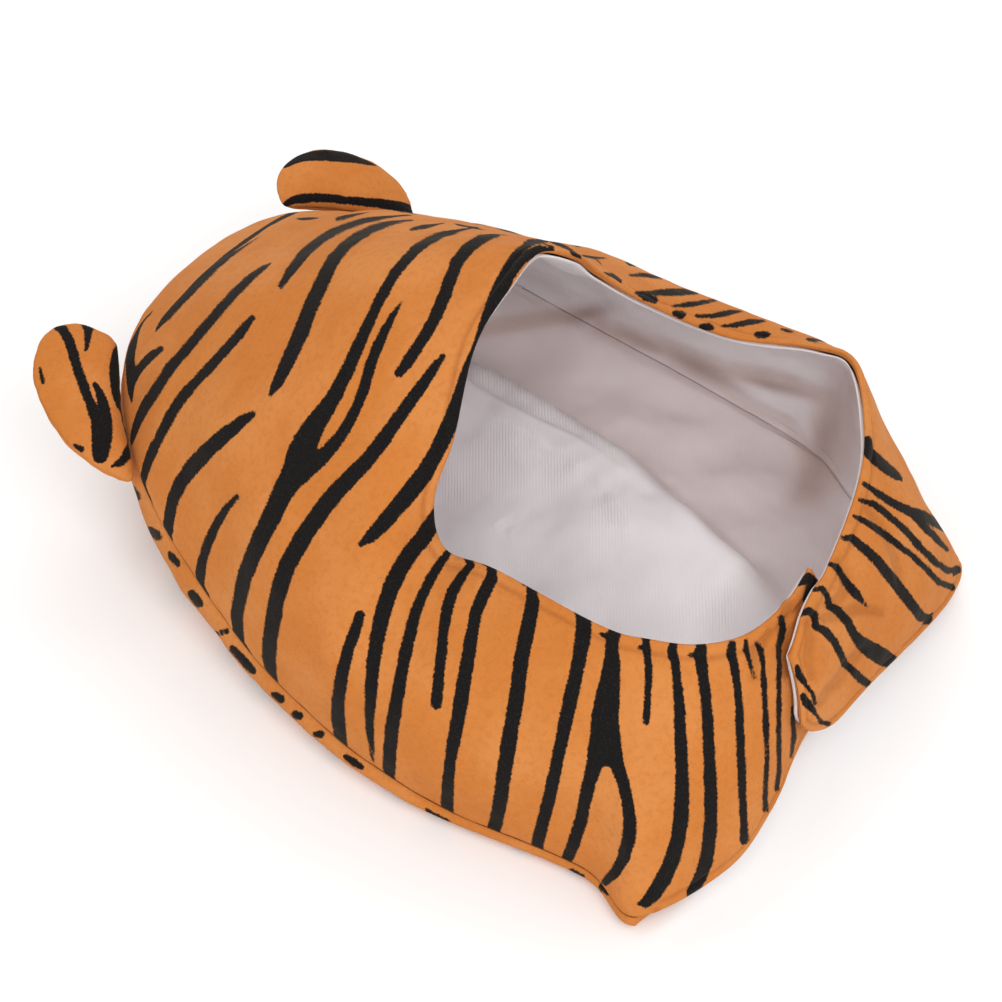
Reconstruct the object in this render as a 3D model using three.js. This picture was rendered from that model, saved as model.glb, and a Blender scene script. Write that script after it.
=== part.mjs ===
// A plush tiger hood hat that lies on its back with its face opening up, in millimetres.
// X runs to the wearer's left, Y to the crown, Z up. The origin is on the floor under the head hollow.
// Each cloth layer is a wall of even thickness, and the layers nest inside each other with a small gap.
import * as THREE from 'three';

// Cloth layers, from the outside in
const plushWall = 2.2;
const liningWall = 1.2;
const layerGap = 0.8;
const seamGap = 0.7;
const liningDepth = plushWall + layerGap;
const liningInside = liningDepth + liningWall;

// Sections of the front panel, from the right chin flap's end, round the right cheek and the crown,
// to the left chin flap's end. Each row holds the point on the face rim, the point on the outer edge,
// and how far the cloth crowns outward and upward halfway between them.
const sections = [
  // name                rim x, y, z           edge x, y, z         out  up
  ['right flap end',      1, -127.3, 81,       4, -146,  30,         5,  0],
  ['right flap',        -22, -132, 86,        -30, -148, 26,         6,  0],
  ['right chin',        -45, -130, 88,        -56, -153, 18,         7,  2],
  ['right jaw',         -61, -120, 90,        -83, -152, 10,         9,  4],
  ['right corner',      -69, -105, 90,       -118, -137,  9,        12,  6],
  ['right neck',        -74,  -88, 90,       -112, -110,  9,        14, 10],
  ['right cheek',       -73,  -42, 88,       -121,  -58, 10,        18, 14],
  ['right temple',      -75,  -21, 87,       -124,  -26, 14,        18, 14],
  ['right brow',        -73,  -15, 106,      -123,    2, 18,        18, 14],
  ['right side',        -61,  -14, 125,      -114,   52, 27,        18, 15],
  ['right ear front',   -38,   -6, 149,       -92,  117, 51,        13, 15],
  ['right ear back',    -17,   -6, 163,       -54,  158.5, 70.5,     5, 13],
  ['crown',               2,   -5, 166,         0,  171, 76,         2,  8],
  ['left ear back',      18, -10.5, 156,       52,  160, 74,         2,  5],
  ['left ear front',     34.5, -10, 136.5,     95,  122, 53,         3,  8.5],
  ['left side',          55,  -20, 112.5,     114,   60, 31,         6, 18.5],
  ['left temple',        78.5, -41.5, 91.5,   124,  -18, 15,      11.5, 17.5],
  ['left cheek',         91,  -70.5, 94,      121,  -66, 10,        16,  8.5],
  ['left neck',          90.5, -90, 96.5,     107,  -99,  9,         4,  7.5],
  ['left corner',        65, -111, 92,       104, -139,  9,          1,  4],
  ['left jaw',           38, -124, 90,        80, -150.5, 9,         8,  3],
  ['left flap',           1, -134.5, 86,        8, -154, 27,         7,  1],
  ['left flap bend',    -12, -136.5, 86.5,   -17, -154,  29.5,       7,  1],
  ['left flap round',   -25, -139.5, 85,     -34, -154,  41,         6,  0],
  ['left flap end',     -37, -143, 78,       -42, -153.5, 51.5,      2,  0],
];
const lastRow = sections.length - 1;
const rowOf = (name) => sections.findIndex((row) => row[0] === name);
const rightCorner = rowOf('right corner');
const leftCorner = rowOf('left corner');
const faceMiddle = new THREE.Vector2(0, -40);

// Neck edge of the back panel between its two corners, a hem that stands a little off the floor
const backNeck = [
  // x, y, z
  [88, -143, 7],
  [0, -136, 6],
  [-88, -141, 7],
];

// Back panel: how far the cloth bulges past the seam, and how far in from the seam it meets the floor,
// each growing with the seam's height
const backBulge = { most: 3.2, grows: [6, 12], perRise: 0.03 };
const backInset = { least: 8, perRise: 0.5 };
const footReach = 0.8;
const cornerMitre = 1.15;
const backDrop = 0.45;
const backFlatShare = 0.62;
const backMiddle = new THREE.Vector3(0, 10, 0);

// Loose back lining that stands up in one long soft ridge, beside the middle of the head hollow
const ridge = {
  height: 27,
  line: [[20, -122], [24, -92], [38, -45], [50, 0], [55, 45], [57, 90]],
  nearSpread: 95,
  farSpread: 28,
  fadeFromNeck: [-118, -80],
  fadeToCrown: [60, 125],
};

// Stuffed ears, sewn into the crown seam
const ears = [
  { name: 'right_ear', along: 10.47, width: 68, height: 39, thickness: 18, lift: 0.35, lean: 0 },
  { name: 'left_ear', along: 13.42, width: 64, height: 36, thickness: 18, lift: 0.4, lean: 0.34 },
];
const earWidest = 0.4;
const earSeamGap = 0.8;
const earBaseSquareness = 5;
const earDome = { inside: 2.4, outside: 0.6 };

// Hook and loop fastener between the two chin flaps
const fastener = { fromRow: 0.25, toRow: 0.75, fromRim: 0.25, toRim: 0.72, gap: 0.5, thickness: 1.6 };

const plushLook = { color: 0xda8a42, roughness: 0.95, metalness: 0 };
const liningLook = { color: 0xe6e0e4, roughness: 0.8, metalness: 0 };
const fastenerLook = { color: 0x26221f, roughness: 0.9, metalness: 0 };

const point = (row, from) => new THREE.Vector3(row[from], row[from + 1], row[from + 2]);
const curveThrough = (points) => new THREE.CatmullRomCurve3(points, false, 'catmullrom', 0.5);
const rimCurve = curveThrough(sections.map((row) => point(row, 1)));
const edgeCurve = curveThrough(sections.map((row) => point(row, 4)));
const crownCurve = curveThrough(sections.map((row) => new THREE.Vector3(row[7], row[8], 0)));
edgeCurve.arcLengthDivisions = 1000;

const smooth = (value, from, to) => THREE.MathUtils.smoothstep(value, from, to);

// Steps along a face that measure its slope, and the share of a panel past which its sinking turns level
const alongStep = 0.02;
const turnStep = 0.002;
const reachStep = 0.004;
const turnsLevel = 0.8;

// Level direction away from the middle of the face opening
function outward(place) {
  const away = new THREE.Vector2(place.x, place.y).sub(faceMiddle).normalize();
  return new THREE.Vector3(away.x, away.y, 0);
}

// Outer face of the front panel: a parabola from the rim to the edge that passes through its crest
function frontFace(along, across) {
  const share = THREE.MathUtils.clamp(along / lastRow, 0, 1);
  const rim = rimCurve.getPoint(share);
  const edge = edgeCurve.getPoint(share);
  const crown = crownCurve.getPoint(share);
  edge.z += seamGap / 2;
  const middle = rim.clone().add(edge).multiplyScalar(0.5);
  const crest = middle.clone().addScaledVector(outward(middle), crown.x);
  crest.z += crown.y;
  const pull = crest.multiplyScalar(2).sub(middle);
  const back = 1 - across;
  return rim.multiplyScalar(back * back)
    .addScaledVector(pull, 2 * across * back)
    .addScaledVector(edge, across * across);
}

// The same face sunk into the cloth by a depth. The sinking turns level at the seam, where panels meet.
function frontPoint(along, across, depth) {
  const face = frontFace(along, across);
  const sideways = frontFace(along + alongStep, across).sub(frontFace(along - alongStep, across));
  const down = frontFace(along, across + alongStep).sub(frontFace(along, across - alongStep));
  const normal = sideways.cross(down).normalize();
  normal.lerp(outward(face), smooth(across, turnsLevel, 1)).normalize();
  return face.addScaledVector(normal, -depth);
}

// Outline of the back panel at a share of the way round: the seam first, then the neck edge
const seamShare = 0.8;
const cornerPoint = (row) => point(sections[row], 4);
const neckCurve = curveThrough([
  cornerPoint(leftCorner),
  ...backNeck.map((row) => point(row, 0)),
  cornerPoint(rightCorner),
]);
function backOutline(turn) {
  if (turn <= seamShare) {
    const along = THREE.MathUtils.lerp(rightCorner, leftCorner, turn / seamShare);
    return edgeCurve.getPoint(along / lastRow);
  }
  return neckCurve.getPoint((turn - seamShare) / (1 - seamShare));
}

// Outer face of the back panel: flat on the floor from its middle to a foot line, then a curve up that
// bulges past the outline
function backFace(turn, reach) {
  const edge = backOutline((turn + 1) % 1);
  const away = outward(edge);
  const rise = edge.z;
  const inset = backInset.least + backInset.perRise * rise;
  const foot = new THREE.Vector3(edge.x, edge.y, 0).addScaledVector(away, -inset);
  if (reach <= backFlatShare) return backMiddle.clone().lerp(foot, reach / backFlatShare);
  const bulge = backBulge.most * smooth(rise, ...backBulge.grows) + backBulge.perRise * rise;
  const outerPull = edge.clone().addScaledVector(away, 2 * bulge);
  outerPull.z -= backDrop * rise;
  const footPull = foot.clone().addScaledVector(away, footReach * inset);
  edge.z -= seamGap / 2;
  const up = (reach - backFlatShare) / (1 - backFlatShare);
  const low = 1 - up;
  return foot.multiplyScalar(low ** 3)
    .addScaledVector(footPull, 3 * low * low * up)
    .addScaledVector(outerPull, 3 * low * up * up)
    .addScaledVector(edge, up ** 3);
}

// The same face sunk into the cloth by a depth. It sinks toward the middle, so that the corners stay
// clean, as far as keeps the wall's thickness, and straight inward at the seam.
function backPoint(turn, reach, depth) {
  const face = backFace(turn, reach);
  if (reach <= backFlatShare) return face.setZ(depth);
  const around = backFace(turn + turnStep, reach).sub(backFace(turn - turnStep, reach));
  const up = backFace(turn, reach + reachStep).sub(backFace(turn, reach - reachStep));
  const normal = up.cross(around).normalize();
  const away = outward(face);
  const sink = away.clone().multiplyScalar(Math.hypot(normal.x, normal.y)).setZ(normal.z);
  sink.divideScalar(sink.dot(normal));
  const fromCorner = Math.min(turn, Math.abs(turn - seamShare));
  if (fromCorner < turnStep) sink.multiplyScalar(cornerMitre);
  else if (turn < seamShare) sink.lerp(away, smooth(reach, turnsLevel, 1));
  return face.addScaledVector(sink, -depth);
}

// Height of the lining's loose ridge: it climbs gently from the near side and drops steeply past its line
const ridgeCurve = curveThrough(ridge.line.map(([x, y]) => new THREE.Vector3(x, y, 0)));
const ridgePlaces = ridgeCurve.getPoints(60);
function ridgeHeight(place) {
  const y = THREE.MathUtils.clamp(place.y, ridgePlaces[0].y, ridgePlaces.at(-1).y);
  const after = Math.max(1, ridgePlaces.findIndex((spot) => spot.y >= y));
  const [low, high] = [ridgePlaces[after - 1], ridgePlaces[after]];
  const lineX = THREE.MathUtils.mapLinear(y, low.y, high.y, low.x, high.x);
  const beyond = place.x - lineX;
  const spread = beyond < 0 ? ridge.nearSpread : ridge.farSpread;
  const across = 0.5 + 0.5 * Math.cos(Math.PI * Math.min(1, Math.abs(beyond) / spread));
  const along = smooth(place.y, ...ridge.fadeFromNeck) * (1 - smooth(place.y, ...ridge.fadeToCrown));
  return ridge.height * across * along;
}
function backLiningPoint(turn, reach, depth) {
  const place = backPoint(turn, reach, depth);
  place.z += ridgeHeight(place) * (1 - smooth(reach, backFlatShare, 0.9));
  return place;
}

function meshOf(name, points, triangles, look) {
  const geometry = new THREE.BufferGeometry();
  const numbers = points.flatMap((p) => [p.x, p.y, p.z]);
  geometry.setAttribute('position', new THREE.Float32BufferAttribute(numbers, 3));
  geometry.setIndex(triangles.flat());
  geometry.computeVertexNormals();
  const mesh = new THREE.Mesh(geometry, new THREE.MeshStandardMaterial(look));
  mesh.name = name;
  return mesh;
}

// Evenly spaced places along a piece. Layers that nest share them, so that their facets stay parallel.
function spaced(from, to, count) {
  return Array.from({ length: count + 1 }, (_, k) => from + (to - from) * k / count);
}
const alongPanel = spaced(0, lastRow, 77);
const acrossPanel = spaced(0, 1, 8);
// Turns round the back panel: even along the seam, then closer together at both ends of the neck edge
const alongNeck = (angle) => seamShare + (1 - seamShare) * (1 - Math.cos(angle)) / 2;
const aroundNeck = spaced(0, Math.PI, 14).map(alongNeck);
const aroundBack = [...spaced(0, seamShare, 46), ...aroundNeck.slice(1, -1)];
const upBackWall = spaced(backFlatShare, 1, 5);

// Closed wall between two grids of points that share their numbering, rimmed along all four sides
function wall(name, pointAt, alongPlaces, acrossPlaces, look) {
  const columns = alongPlaces.length - 1;
  const rows = acrossPlaces.length - 1;
  const grid = (side) => alongPlaces.flatMap(
    (along) => acrossPlaces.map((across) => pointAt(along, across, side)),
  );
  const points = [...grid('outer'), ...grid('inner')];
  const inner = points.length / 2;
  const at = (i, j) => i * (rows + 1) + j;
  const triangles = [];
  for (let i = 0; i < columns; i++) {
    for (let j = 0; j < rows; j++) {
      const [a, b, c, d] = [at(i, j), at(i + 1, j), at(i + 1, j + 1), at(i, j + 1)];
      triangles.push([a, b, c], [a, c, d]);
      triangles.push([a + inner, c + inner, b + inner], [a + inner, d + inner, c + inner]);
    }
  }
  const border = [];
  for (let i = 0; i < columns; i++) border.push(at(i, 0));
  for (let j = 0; j < rows; j++) border.push(at(columns, j));
  for (let i = columns; i > 0; i--) border.push(at(i, rows));
  for (let j = rows; j > 0; j--) border.push(at(0, j));
  border.forEach((a, k) => {
    const b = border[(k + 1) % border.length];
    triangles.push([b, a, a + inner], [b, a + inner, b + inner]);
  });
  return meshOf(name, points, triangles, look);
}

// Closed dish between two round grids, whose rings grow from one middle point to a shared border
function dish(name, pointAt, turnPlaces, reachPlaces, look) {
  const turns = turnPlaces.length;
  const rings = reachPlaces.length;
  const grid = (side) => [
    pointAt(0, 0, side),
    ...reachPlaces.flatMap((reach) => turnPlaces.map((turn) => pointAt(turn, reach, side))),
  ];
  const points = [...grid('outer'), ...grid('inner')];
  const inner = points.length / 2;
  const at = (i, j) => 1 + (j - 1) * turns + (i % turns);
  const triangles = [];
  for (let i = 0; i < turns; i++) {
    triangles.push([0, at(i, 1), at(i + 1, 1)], [inner, at(i + 1, 1) + inner, at(i, 1) + inner]);
    for (let j = 1; j < rings; j++) {
      const [a, b, c, d] = [at(i, j), at(i + 1, j), at(i + 1, j + 1), at(i, j + 1)];
      triangles.push([a, c, b], [a, d, c]);
      triangles.push([a + inner, b + inner, c + inner], [a + inner, c + inner, d + inner]);
    }
    const [a, b] = [at(i, rings), at(i + 1, rings)];
    triangles.push([b, a, a + inner], [b, a + inner, b + inner]);
  }
  return meshOf(name, points, triangles, look);
}

// Stuffed ear: an outline round on top and squarer at the base, filled by two shallow domes.
// Its width follows the seam, and it stands out from the crown.
function ear({ name, along, width, height, thickness, lift, lean }) {
  const turns = 32;
  const rings = 5;
  const seamLength = edgeCurve.getLength();
  const lengths = edgeCurve.getLengths();
  const start = lengths[Math.round(along / lastRow * (lengths.length - 1))] / seamLength;
  const root = edgeCurve.getPointAt(start);
  const level = outward(root);
  const stand = level.clone().multiplyScalar(Math.sqrt(1 - lift * lift));
  stand.z = lift;
  const normal = level.clone().multiplyScalar(-lift);
  normal.z = Math.sqrt(1 - lift * lift);
  const lengthways = edgeCurve.getTangentAt(start);
  const waist = earWidest * height;
  const place = (turn, ring, side) => {
    const angle = 2 * Math.PI * turn;
    const [cos, sin] = [Math.cos(angle), Math.sin(angle)];
    const power = sin > 0 ? 1 : 2 / earBaseSquareness;
    const reach = sin > 0 ? height - waist : waist;
    const wide = width / 2 * Math.sign(cos) * Math.abs(cos) ** power * ring;
    const tall = waist + reach * Math.sign(sin) * Math.abs(sin) ** power * ring;
    const dome = thickness / 2 * (1 - ring ** earDome.inside) ** earDome.outside;
    return edgeCurve.getPointAt(start + wide / seamLength)
      .addScaledVector(stand, tall + earSeamGap)
      .addScaledVector(lengthways, lean * tall)
      .addScaledVector(normal, side === 'outer' ? dome : -dome);
  };
  const points = [];
  const triangles = [];
  for (const side of ['outer', 'inner']) {
    points.push(place(0, 0, side));
    for (let j = 1; j < rings; j++) {
      for (let i = 0; i < turns; i++) points.push(place(i / turns, j / rings, side));
    }
  }
  const inner = points.length / 2;
  const edge = points.length;
  for (let i = 0; i < turns; i++) points.push(place(i / turns, 1, 'outer'));
  const at = (i, j, base) => (j === rings ? edge + (i % turns) : base + 1 + (j - 1) * turns + (i % turns));
  const add = (base, a, b, c) => triangles.push(base === 0 ? [a, c, b] : [a, b, c]);
  for (const base of [0, inner]) {
    for (let i = 0; i < turns; i++) {
      add(base, base, at(i + 1, 1, base), at(i, 1, base));
      for (let j = 1; j < rings; j++) {
        const [a, b, c, d] = [at(i, j, base), at(i + 1, j, base), at(i + 1, j + 1, base), at(i, j + 1, base)];
        add(base, a, b, c);
        add(base, a, c, d);
      }
    }
  }
  return meshOf(name, points, triangles, plushLook);
}

const depthOf = (side, outer, inner) => (side === 'outer' ? outer : inner);

function frontPanel() {
  const place = (along, across, side) => frontPoint(along, across, depthOf(side, 0, plushWall));
  return wall('front_panel', place, alongPanel, acrossPanel, plushLook);
}

function frontLining() {
  const endInset = 0.06;
  const rimInset = 0.025;
  const place = (along, across, side) => frontPoint(along, across, depthOf(side, liningDepth, liningInside));
  const alongPlaces = [endInset, ...alongPanel.slice(1, -1), lastRow - endInset];
  return wall('front_lining', place, alongPlaces, [rimInset, ...acrossPanel.slice(1)], liningLook);
}

function backPanel() {
  const place = (turn, reach, side) => backPoint(turn, reach, depthOf(side, 0, plushWall));
  return dish('back_panel', place, aroundBack, [backFlatShare / 2, ...upBackWall], plushLook);
}

function backLining() {
  const place = (turn, reach, side) => backLiningPoint(turn, reach, depthOf(side, liningDepth, liningInside));
  const flatPlaces = spaced(0, backFlatShare, 9).slice(1, -1);
  return dish('back_lining', place, aroundBack, [...flatPlaces, ...upBackWall], liningLook);
}

function chinFastener() {
  const outerDepth = -fastener.gap - fastener.thickness;
  const place = (along, across, side) => frontPoint(along, across, depthOf(side, outerDepth, -fastener.gap));
  const alongPlaces = spaced(fastener.fromRow, fastener.toRow, 4);
  return wall('chin_fastener', place, alongPlaces, spaced(fastener.fromRim, fastener.toRim, 4), fastenerLook);
}

const hat = new THREE.Group();
hat.add(frontPanel(), backPanel(), frontLining(), backLining(), chinFastener(), ...ears.map(ear));

export default hat;
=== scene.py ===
import math
import bpy
import numpy as np
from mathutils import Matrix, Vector
from mathutils.bvhtree import BVHTree


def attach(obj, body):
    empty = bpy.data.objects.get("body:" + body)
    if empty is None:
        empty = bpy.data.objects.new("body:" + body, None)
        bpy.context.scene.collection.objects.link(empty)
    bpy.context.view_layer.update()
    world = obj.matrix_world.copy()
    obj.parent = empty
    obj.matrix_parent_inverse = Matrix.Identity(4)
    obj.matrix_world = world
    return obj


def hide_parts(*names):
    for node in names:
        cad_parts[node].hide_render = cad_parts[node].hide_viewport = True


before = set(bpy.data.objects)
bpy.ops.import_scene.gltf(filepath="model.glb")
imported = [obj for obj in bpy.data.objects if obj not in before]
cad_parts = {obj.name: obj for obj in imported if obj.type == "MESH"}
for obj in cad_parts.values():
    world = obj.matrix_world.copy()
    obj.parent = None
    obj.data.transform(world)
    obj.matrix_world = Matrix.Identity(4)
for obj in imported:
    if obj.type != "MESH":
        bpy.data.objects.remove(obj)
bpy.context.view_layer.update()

# Camera, at the photograph's angle. The same numbers place the stripes.
cameraPlace = {
    "target": (-0.0148, 0.0, 0.050),
    "distance": 0.900,
    "turn": 37.11,            # degrees from X towards Y that the camera looks
    "elevation": 45.0,
    "focalPixels": 2322.9,
    "imagePixels": 1002,
    "sensor": 36.0,
}
turn = math.radians(cameraPlace["turn"])
elevation = math.radians(cameraPlace["elevation"])
lookAlong = np.array([
    math.cos(turn) * math.cos(elevation),
    math.sin(turn) * math.cos(elevation),
    -math.sin(elevation),
])
cameraRight = np.array([math.sin(turn), -math.cos(turn), 0.0])
cameraUp = np.cross(cameraRight, lookAlong)
cameraSpot = np.array(cameraPlace["target"]) - lookAlong * cameraPlace["distance"]

cameraData = bpy.data.cameras.new("camera")
cameraData.sensor_width = cameraPlace["sensor"]
cameraData.lens = cameraPlace["focalPixels"] / cameraPlace["imagePixels"] * cameraPlace["sensor"]
cameraData.clip_start = 0.01
camera = bpy.data.objects.new("camera", cameraData)
bpy.context.scene.collection.objects.link(camera)
camera.location = Vector(cameraSpot)
camera.rotation_euler = Vector(lookAlong).to_track_quat("-Z", "Y").to_euler()
bpy.context.scene.camera = camera


# Light and floor
studio = {
    "key": {"place": (-0.62, -0.80, 1.05), "size": 1.0, "power": 9.1},
    "fill": {"place": (-1.1, 0.1, 1.0), "size": 1.2, "power": 2.5},
    "rim": {"place": (1.0, 0.5, 1.1), "size": 1.0, "power": 5.2},
    "aim": (0, 0, 0.06),
    "sky": 0.76,
    "floor": (0.95, 0.95, 0.95),
    "floorSize": 6.0,
    "floorRoughness": 0.85,
}
for lampName in ("key", "fill", "rim"):
    lampData = bpy.data.lights.new(lampName, "AREA")
    lampData.size = studio[lampName]["size"]
    lampData.energy = studio[lampName]["power"]
    lamp = bpy.data.objects.new(lampName, lampData)
    lamp.location = studio[lampName]["place"]
    lamp.rotation_euler = (Vector(studio["aim"]) - lamp.location).to_track_quat("-Z", "Y").to_euler()
    bpy.context.scene.collection.objects.link(lamp)
world = bpy.data.worlds.new("paleRoom")
world.use_nodes = True
world.node_tree.nodes["Background"].inputs["Color"].default_value = (1, 1, 1, 1)
world.node_tree.nodes["Background"].inputs["Strength"].default_value = studio["sky"]
bpy.context.scene.world = world
bpy.context.scene.view_settings.view_transform = "Standard"


# Shader maths: an expression on wires adds its Math nodes
class Wire:
    def __init__(self, finish, socket):
        self.finish = finish
        self.socket = socket

    def maths(self, operation, first, second):
        return self.finish.node("Math", {"operation": operation}, {0: first, 1: second})

    def __add__(self, other):
        return self.maths("ADD", self, other)

    def __sub__(self, other):
        return self.maths("SUBTRACT", self, other)

    def __rsub__(self, other):
        return self.maths("SUBTRACT", other, self)

    def __mul__(self, other):
        return self.maths("MULTIPLY", self, other)


class Finish:
    def __init__(self, name):
        self.material = bpy.data.materials.new(name)
        self.material.use_nodes = True
        self.tree = self.material.node_tree
        self.tree.nodes.clear()
        self.shader = self.tree.nodes.new("ShaderNodeBsdfPrincipled")
        output = self.tree.nodes.new("ShaderNodeOutputMaterial")
        self.tree.links.new(self.shader.outputs["BSDF"], output.inputs["Surface"])

    def connect(self, socket, value):
        if isinstance(value, Wire):
            self.tree.links.new(value.socket, socket)
        else:
            socket.default_value = value

    def node(self, kind, settings=None, sockets=None, output=0):
        made = self.tree.nodes.new("ShaderNode" + kind)
        for key, value in (settings or {}).items():
            setattr(made, key, value)
        for key, value in (sockets or {}).items():
            self.connect(made.inputs[key], value)
        return Wire(self, made.outputs[output])

    def place(self):
        return self.node("TexCoord", output="Object")

    def attribute(self, name):
        return self.node("Attribute", {"attribute_name": name}, output="Fac")

    def noise(self, scale, detail, rough=0.5):
        sockets = {"Scale": scale, "Detail": detail, "Roughness": rough, "Vector": self.place()}
        return self.node("TexNoise", {}, sockets)

    def step(self, value, low, high, toLow=0.0, toHigh=1.0):
        sockets = {"Value": value, "From Min": low, "From Max": high, "To Min": toLow, "To Max": toHigh}
        return self.node("MapRange", {"interpolation_type": "SMOOTHSTEP"}, sockets)

    def blend(self, share, first, second):
        return self.node("Mix", {"data_type": "RGBA"}, {0: share, 6: first, 7: second}, output=2)

    def bump(self, height, strength, distance):
        return self.node("Bump", {}, {"Height": height, "Strength": strength, "Distance": distance})

    def set(self, **values):
        for key, value in values.items():
            self.connect(self.shader.inputs[key.replace("_", " ")], value)


# Sections of the front panel in millimetres, from the right chin flap's end, round the right cheek and the
# crown, to the left chin flap's end: rim x, y, z, edge x, y, z, and how far the cloth crowns out and up
sections = np.array([
    (1, -127.3, 81, 4, -146, 30, 5, 0),
    (-22, -132, 86, -30, -148, 26, 6, 0),
    (-45, -130, 88, -56, -153, 18, 7, 2),
    (-61, -120, 90, -83, -152, 10, 9, 4),
    (-69, -105, 90, -118, -137, 9, 12, 6),
    (-74, -88, 90, -112, -110, 9, 14, 10),
    (-73, -42, 88, -121, -58, 10, 18, 14),
    (-75, -21, 87, -124, -26, 14, 18, 14),
    (-73, -15, 106, -123, 2, 18, 18, 14),
    (-61, -14, 125, -114, 52, 27, 18, 15),
    (-38, -6, 149, -92, 117, 51, 13, 15),
    (-17, -6, 163, -54, 158.5, 70.5, 5, 13),
    (2, -5, 166, 0, 171, 76, 2, 8),
    (18, -10.5, 156, 52, 160, 74, 2, 5),
    (34.5, -10, 136.5, 95, 122, 53, 3, 8.5),
    (55, -20, 112.5, 114, 60, 31, 6, 18.5),
    (78.5, -41.5, 91.5, 124, -18, 15, 11.5, 17.5),
    (91, -70.5, 94, 121, -66, 10, 16, 8.5),
    (90.5, -90, 96.5, 107, -99, 9, 4, 7.5),
    (65, -111, 92, 104, -139, 9, 1, 4),
    (38, -124, 90, 80, -150.5, 9, 8, 3),
    (1, -134.5, 86, 8, -154, 27, 7, 1),
    (-12, -136.5, 86.5, -17, -154, 29.5, 7, 1),
    (-25, -139.5, 85, -34, -154, 41, 6, 0),
    (-37, -143, 78, -42, -153.5, 51.5, 2, 0),
], float)
lastRow = len(sections) - 1
rightCorner = 4
leftCorner = 19
faceMiddle = np.array([0.0, -40.0])
cloth = {
    "plushWall": 2.2,
    "liningWall": 1.2,
    "layerGap": 0.8,
    "seamGap": 0.7,
    "turnsLevel": 0.8,
    "seamClose": 0.3,          # how far each plush edge is drawn to the other, within 3 mm, and how
    "closeWithin": 3.0,        # sharply both turn in
    "seamSharp": 3.0,
    # strength and width of the painted shade beside a seam
    "seamShadeTone": 0.6,
    "seamWide": 1.2,
    "noHem": 30.0,             # added to the distance from an edge that is sewn and has no hem
}
liningDepth = cloth["plushWall"] + cloth["layerGap"]
liningInside = liningDepth + cloth["liningWall"]


def smooth(value, low, high):
    share = np.clip((value - low) / (high - low), 0, 1)
    return share * share * (3 - 2 * share)


# Catmull-Rom curve: each stretch between two rows is a cubic that also leans on the rows beside it
def curveThrough(rows, along):
    along = np.clip(along, 0, len(rows) - 1)
    start = np.minimum(along.astype(int), len(rows) - 2)
    share = (along - start)[..., None]
    here, after = rows[start], rows[start + 1]
    before = np.where(start[..., None] > 0, rows[start - 1], 2 * here - after)
    following = rows[np.minimum(start + 2, len(rows) - 1)]
    beyond = np.where(start[..., None] < len(rows) - 2, following, 2 * after - here)
    slope = (after - before) * share
    bend = (2 * before - 5 * here + 4 * after - beyond) * share ** 2
    twist = (3 * here - before - 3 * after + beyond) * share ** 3
    return 0.5 * (2 * here + slope + bend + twist)


def unit(vectors):
    return vectors / np.maximum(np.linalg.norm(vectors, axis=-1, keepdims=True), 1e-9)


# Length of each run of points up to every one of them, from 0 at its first
def runAlong(points):
    steps = np.linalg.norm(np.diff(points, axis=-2), axis=-1)
    return np.concatenate([np.zeros_like(steps[..., :1]), np.cumsum(steps, axis=-1)], -1)


# The seam between both panels, by the places of the sections
def seamPoint(along):
    return curveThrough(sections[:, 3:6], along)


# Level direction away from the middle of the face opening
def outward(points):
    away = unit(points[..., :2] - faceMiddle)
    return np.concatenate([away, np.zeros_like(away[..., :1])], -1)


# Outer face of the front panel: a parabola from the rim to the edge that passes through its crest
def frontFace(along, across):
    row = curveThrough(sections, along)
    rim, edge = row[..., :3], row[..., 3:6] + (0, 0, cloth["seamGap"] / 2)
    middle = (rim + edge) / 2
    crest = middle + outward(middle) * row[..., 6:7]
    crest[..., 2] += row[..., 7]
    pull = 2 * crest - middle
    across = across[..., None]
    return rim * (1 - across) ** 2 + pull * 2 * across * (1 - across) + edge * across ** 2


# The same face sunk by a depth along its own slope, and level at the seam where the panels meet
def frontPoint(along, across, depth):
    step = 0.02
    face = frontFace(along, across)
    sideways = frontFace(along + step, across) - frontFace(along - step, across)
    down = frontFace(along, across + step) - frontFace(along, across - step)
    normal = unit(np.cross(sideways, down))
    share = smooth(across, cloth["turnsLevel"], 1)[..., None]
    normal = unit(normal * (1 - share) + outward(face) * share)
    return face - normal * depth[..., None], normal


backShape = {
    "neck": [(88, -143, 7), (0, -136, 6), (-88, -141, 7)],
    "bulgeMost": 3.2,
    "bulgeGrows": (6, 12),
    "bulgePerRise": 0.03,
    "insetLeast": 8,
    "insetPerRise": 0.5,
    "footReach": 0.8,
    "drop": 0.45,
    "flatShare": 0.62,
    "middle": (0, 10, 0),
    "seamShare": 0.8,
    "cornerTurns": 0.012,
    "step": (0.002, 0.004),
}
neckRows = np.array([sections[leftCorner, 3:6], *backShape["neck"], sections[rightCorner, 3:6]], float)


# Place of the sections at a share of the way round the back panel
def alongSeam(turns):
    return rightCorner + (leftCorner - rightCorner) * np.minimum(turns / backShape["seamShare"], 1)


# Outline of the back panel at a share of the way round: the seam first, then the neck edge
def backOutline(turns):
    turns = turns % 1
    seam = backShape["seamShare"]
    onSeam = seamPoint(alongSeam(turns))
    onNeck = curveThrough(neckRows, np.maximum(turns - seam, 0) / (1 - seam) * (len(neckRows) - 1))
    return np.where((turns <= seam)[..., None], onSeam, onNeck)


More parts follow.
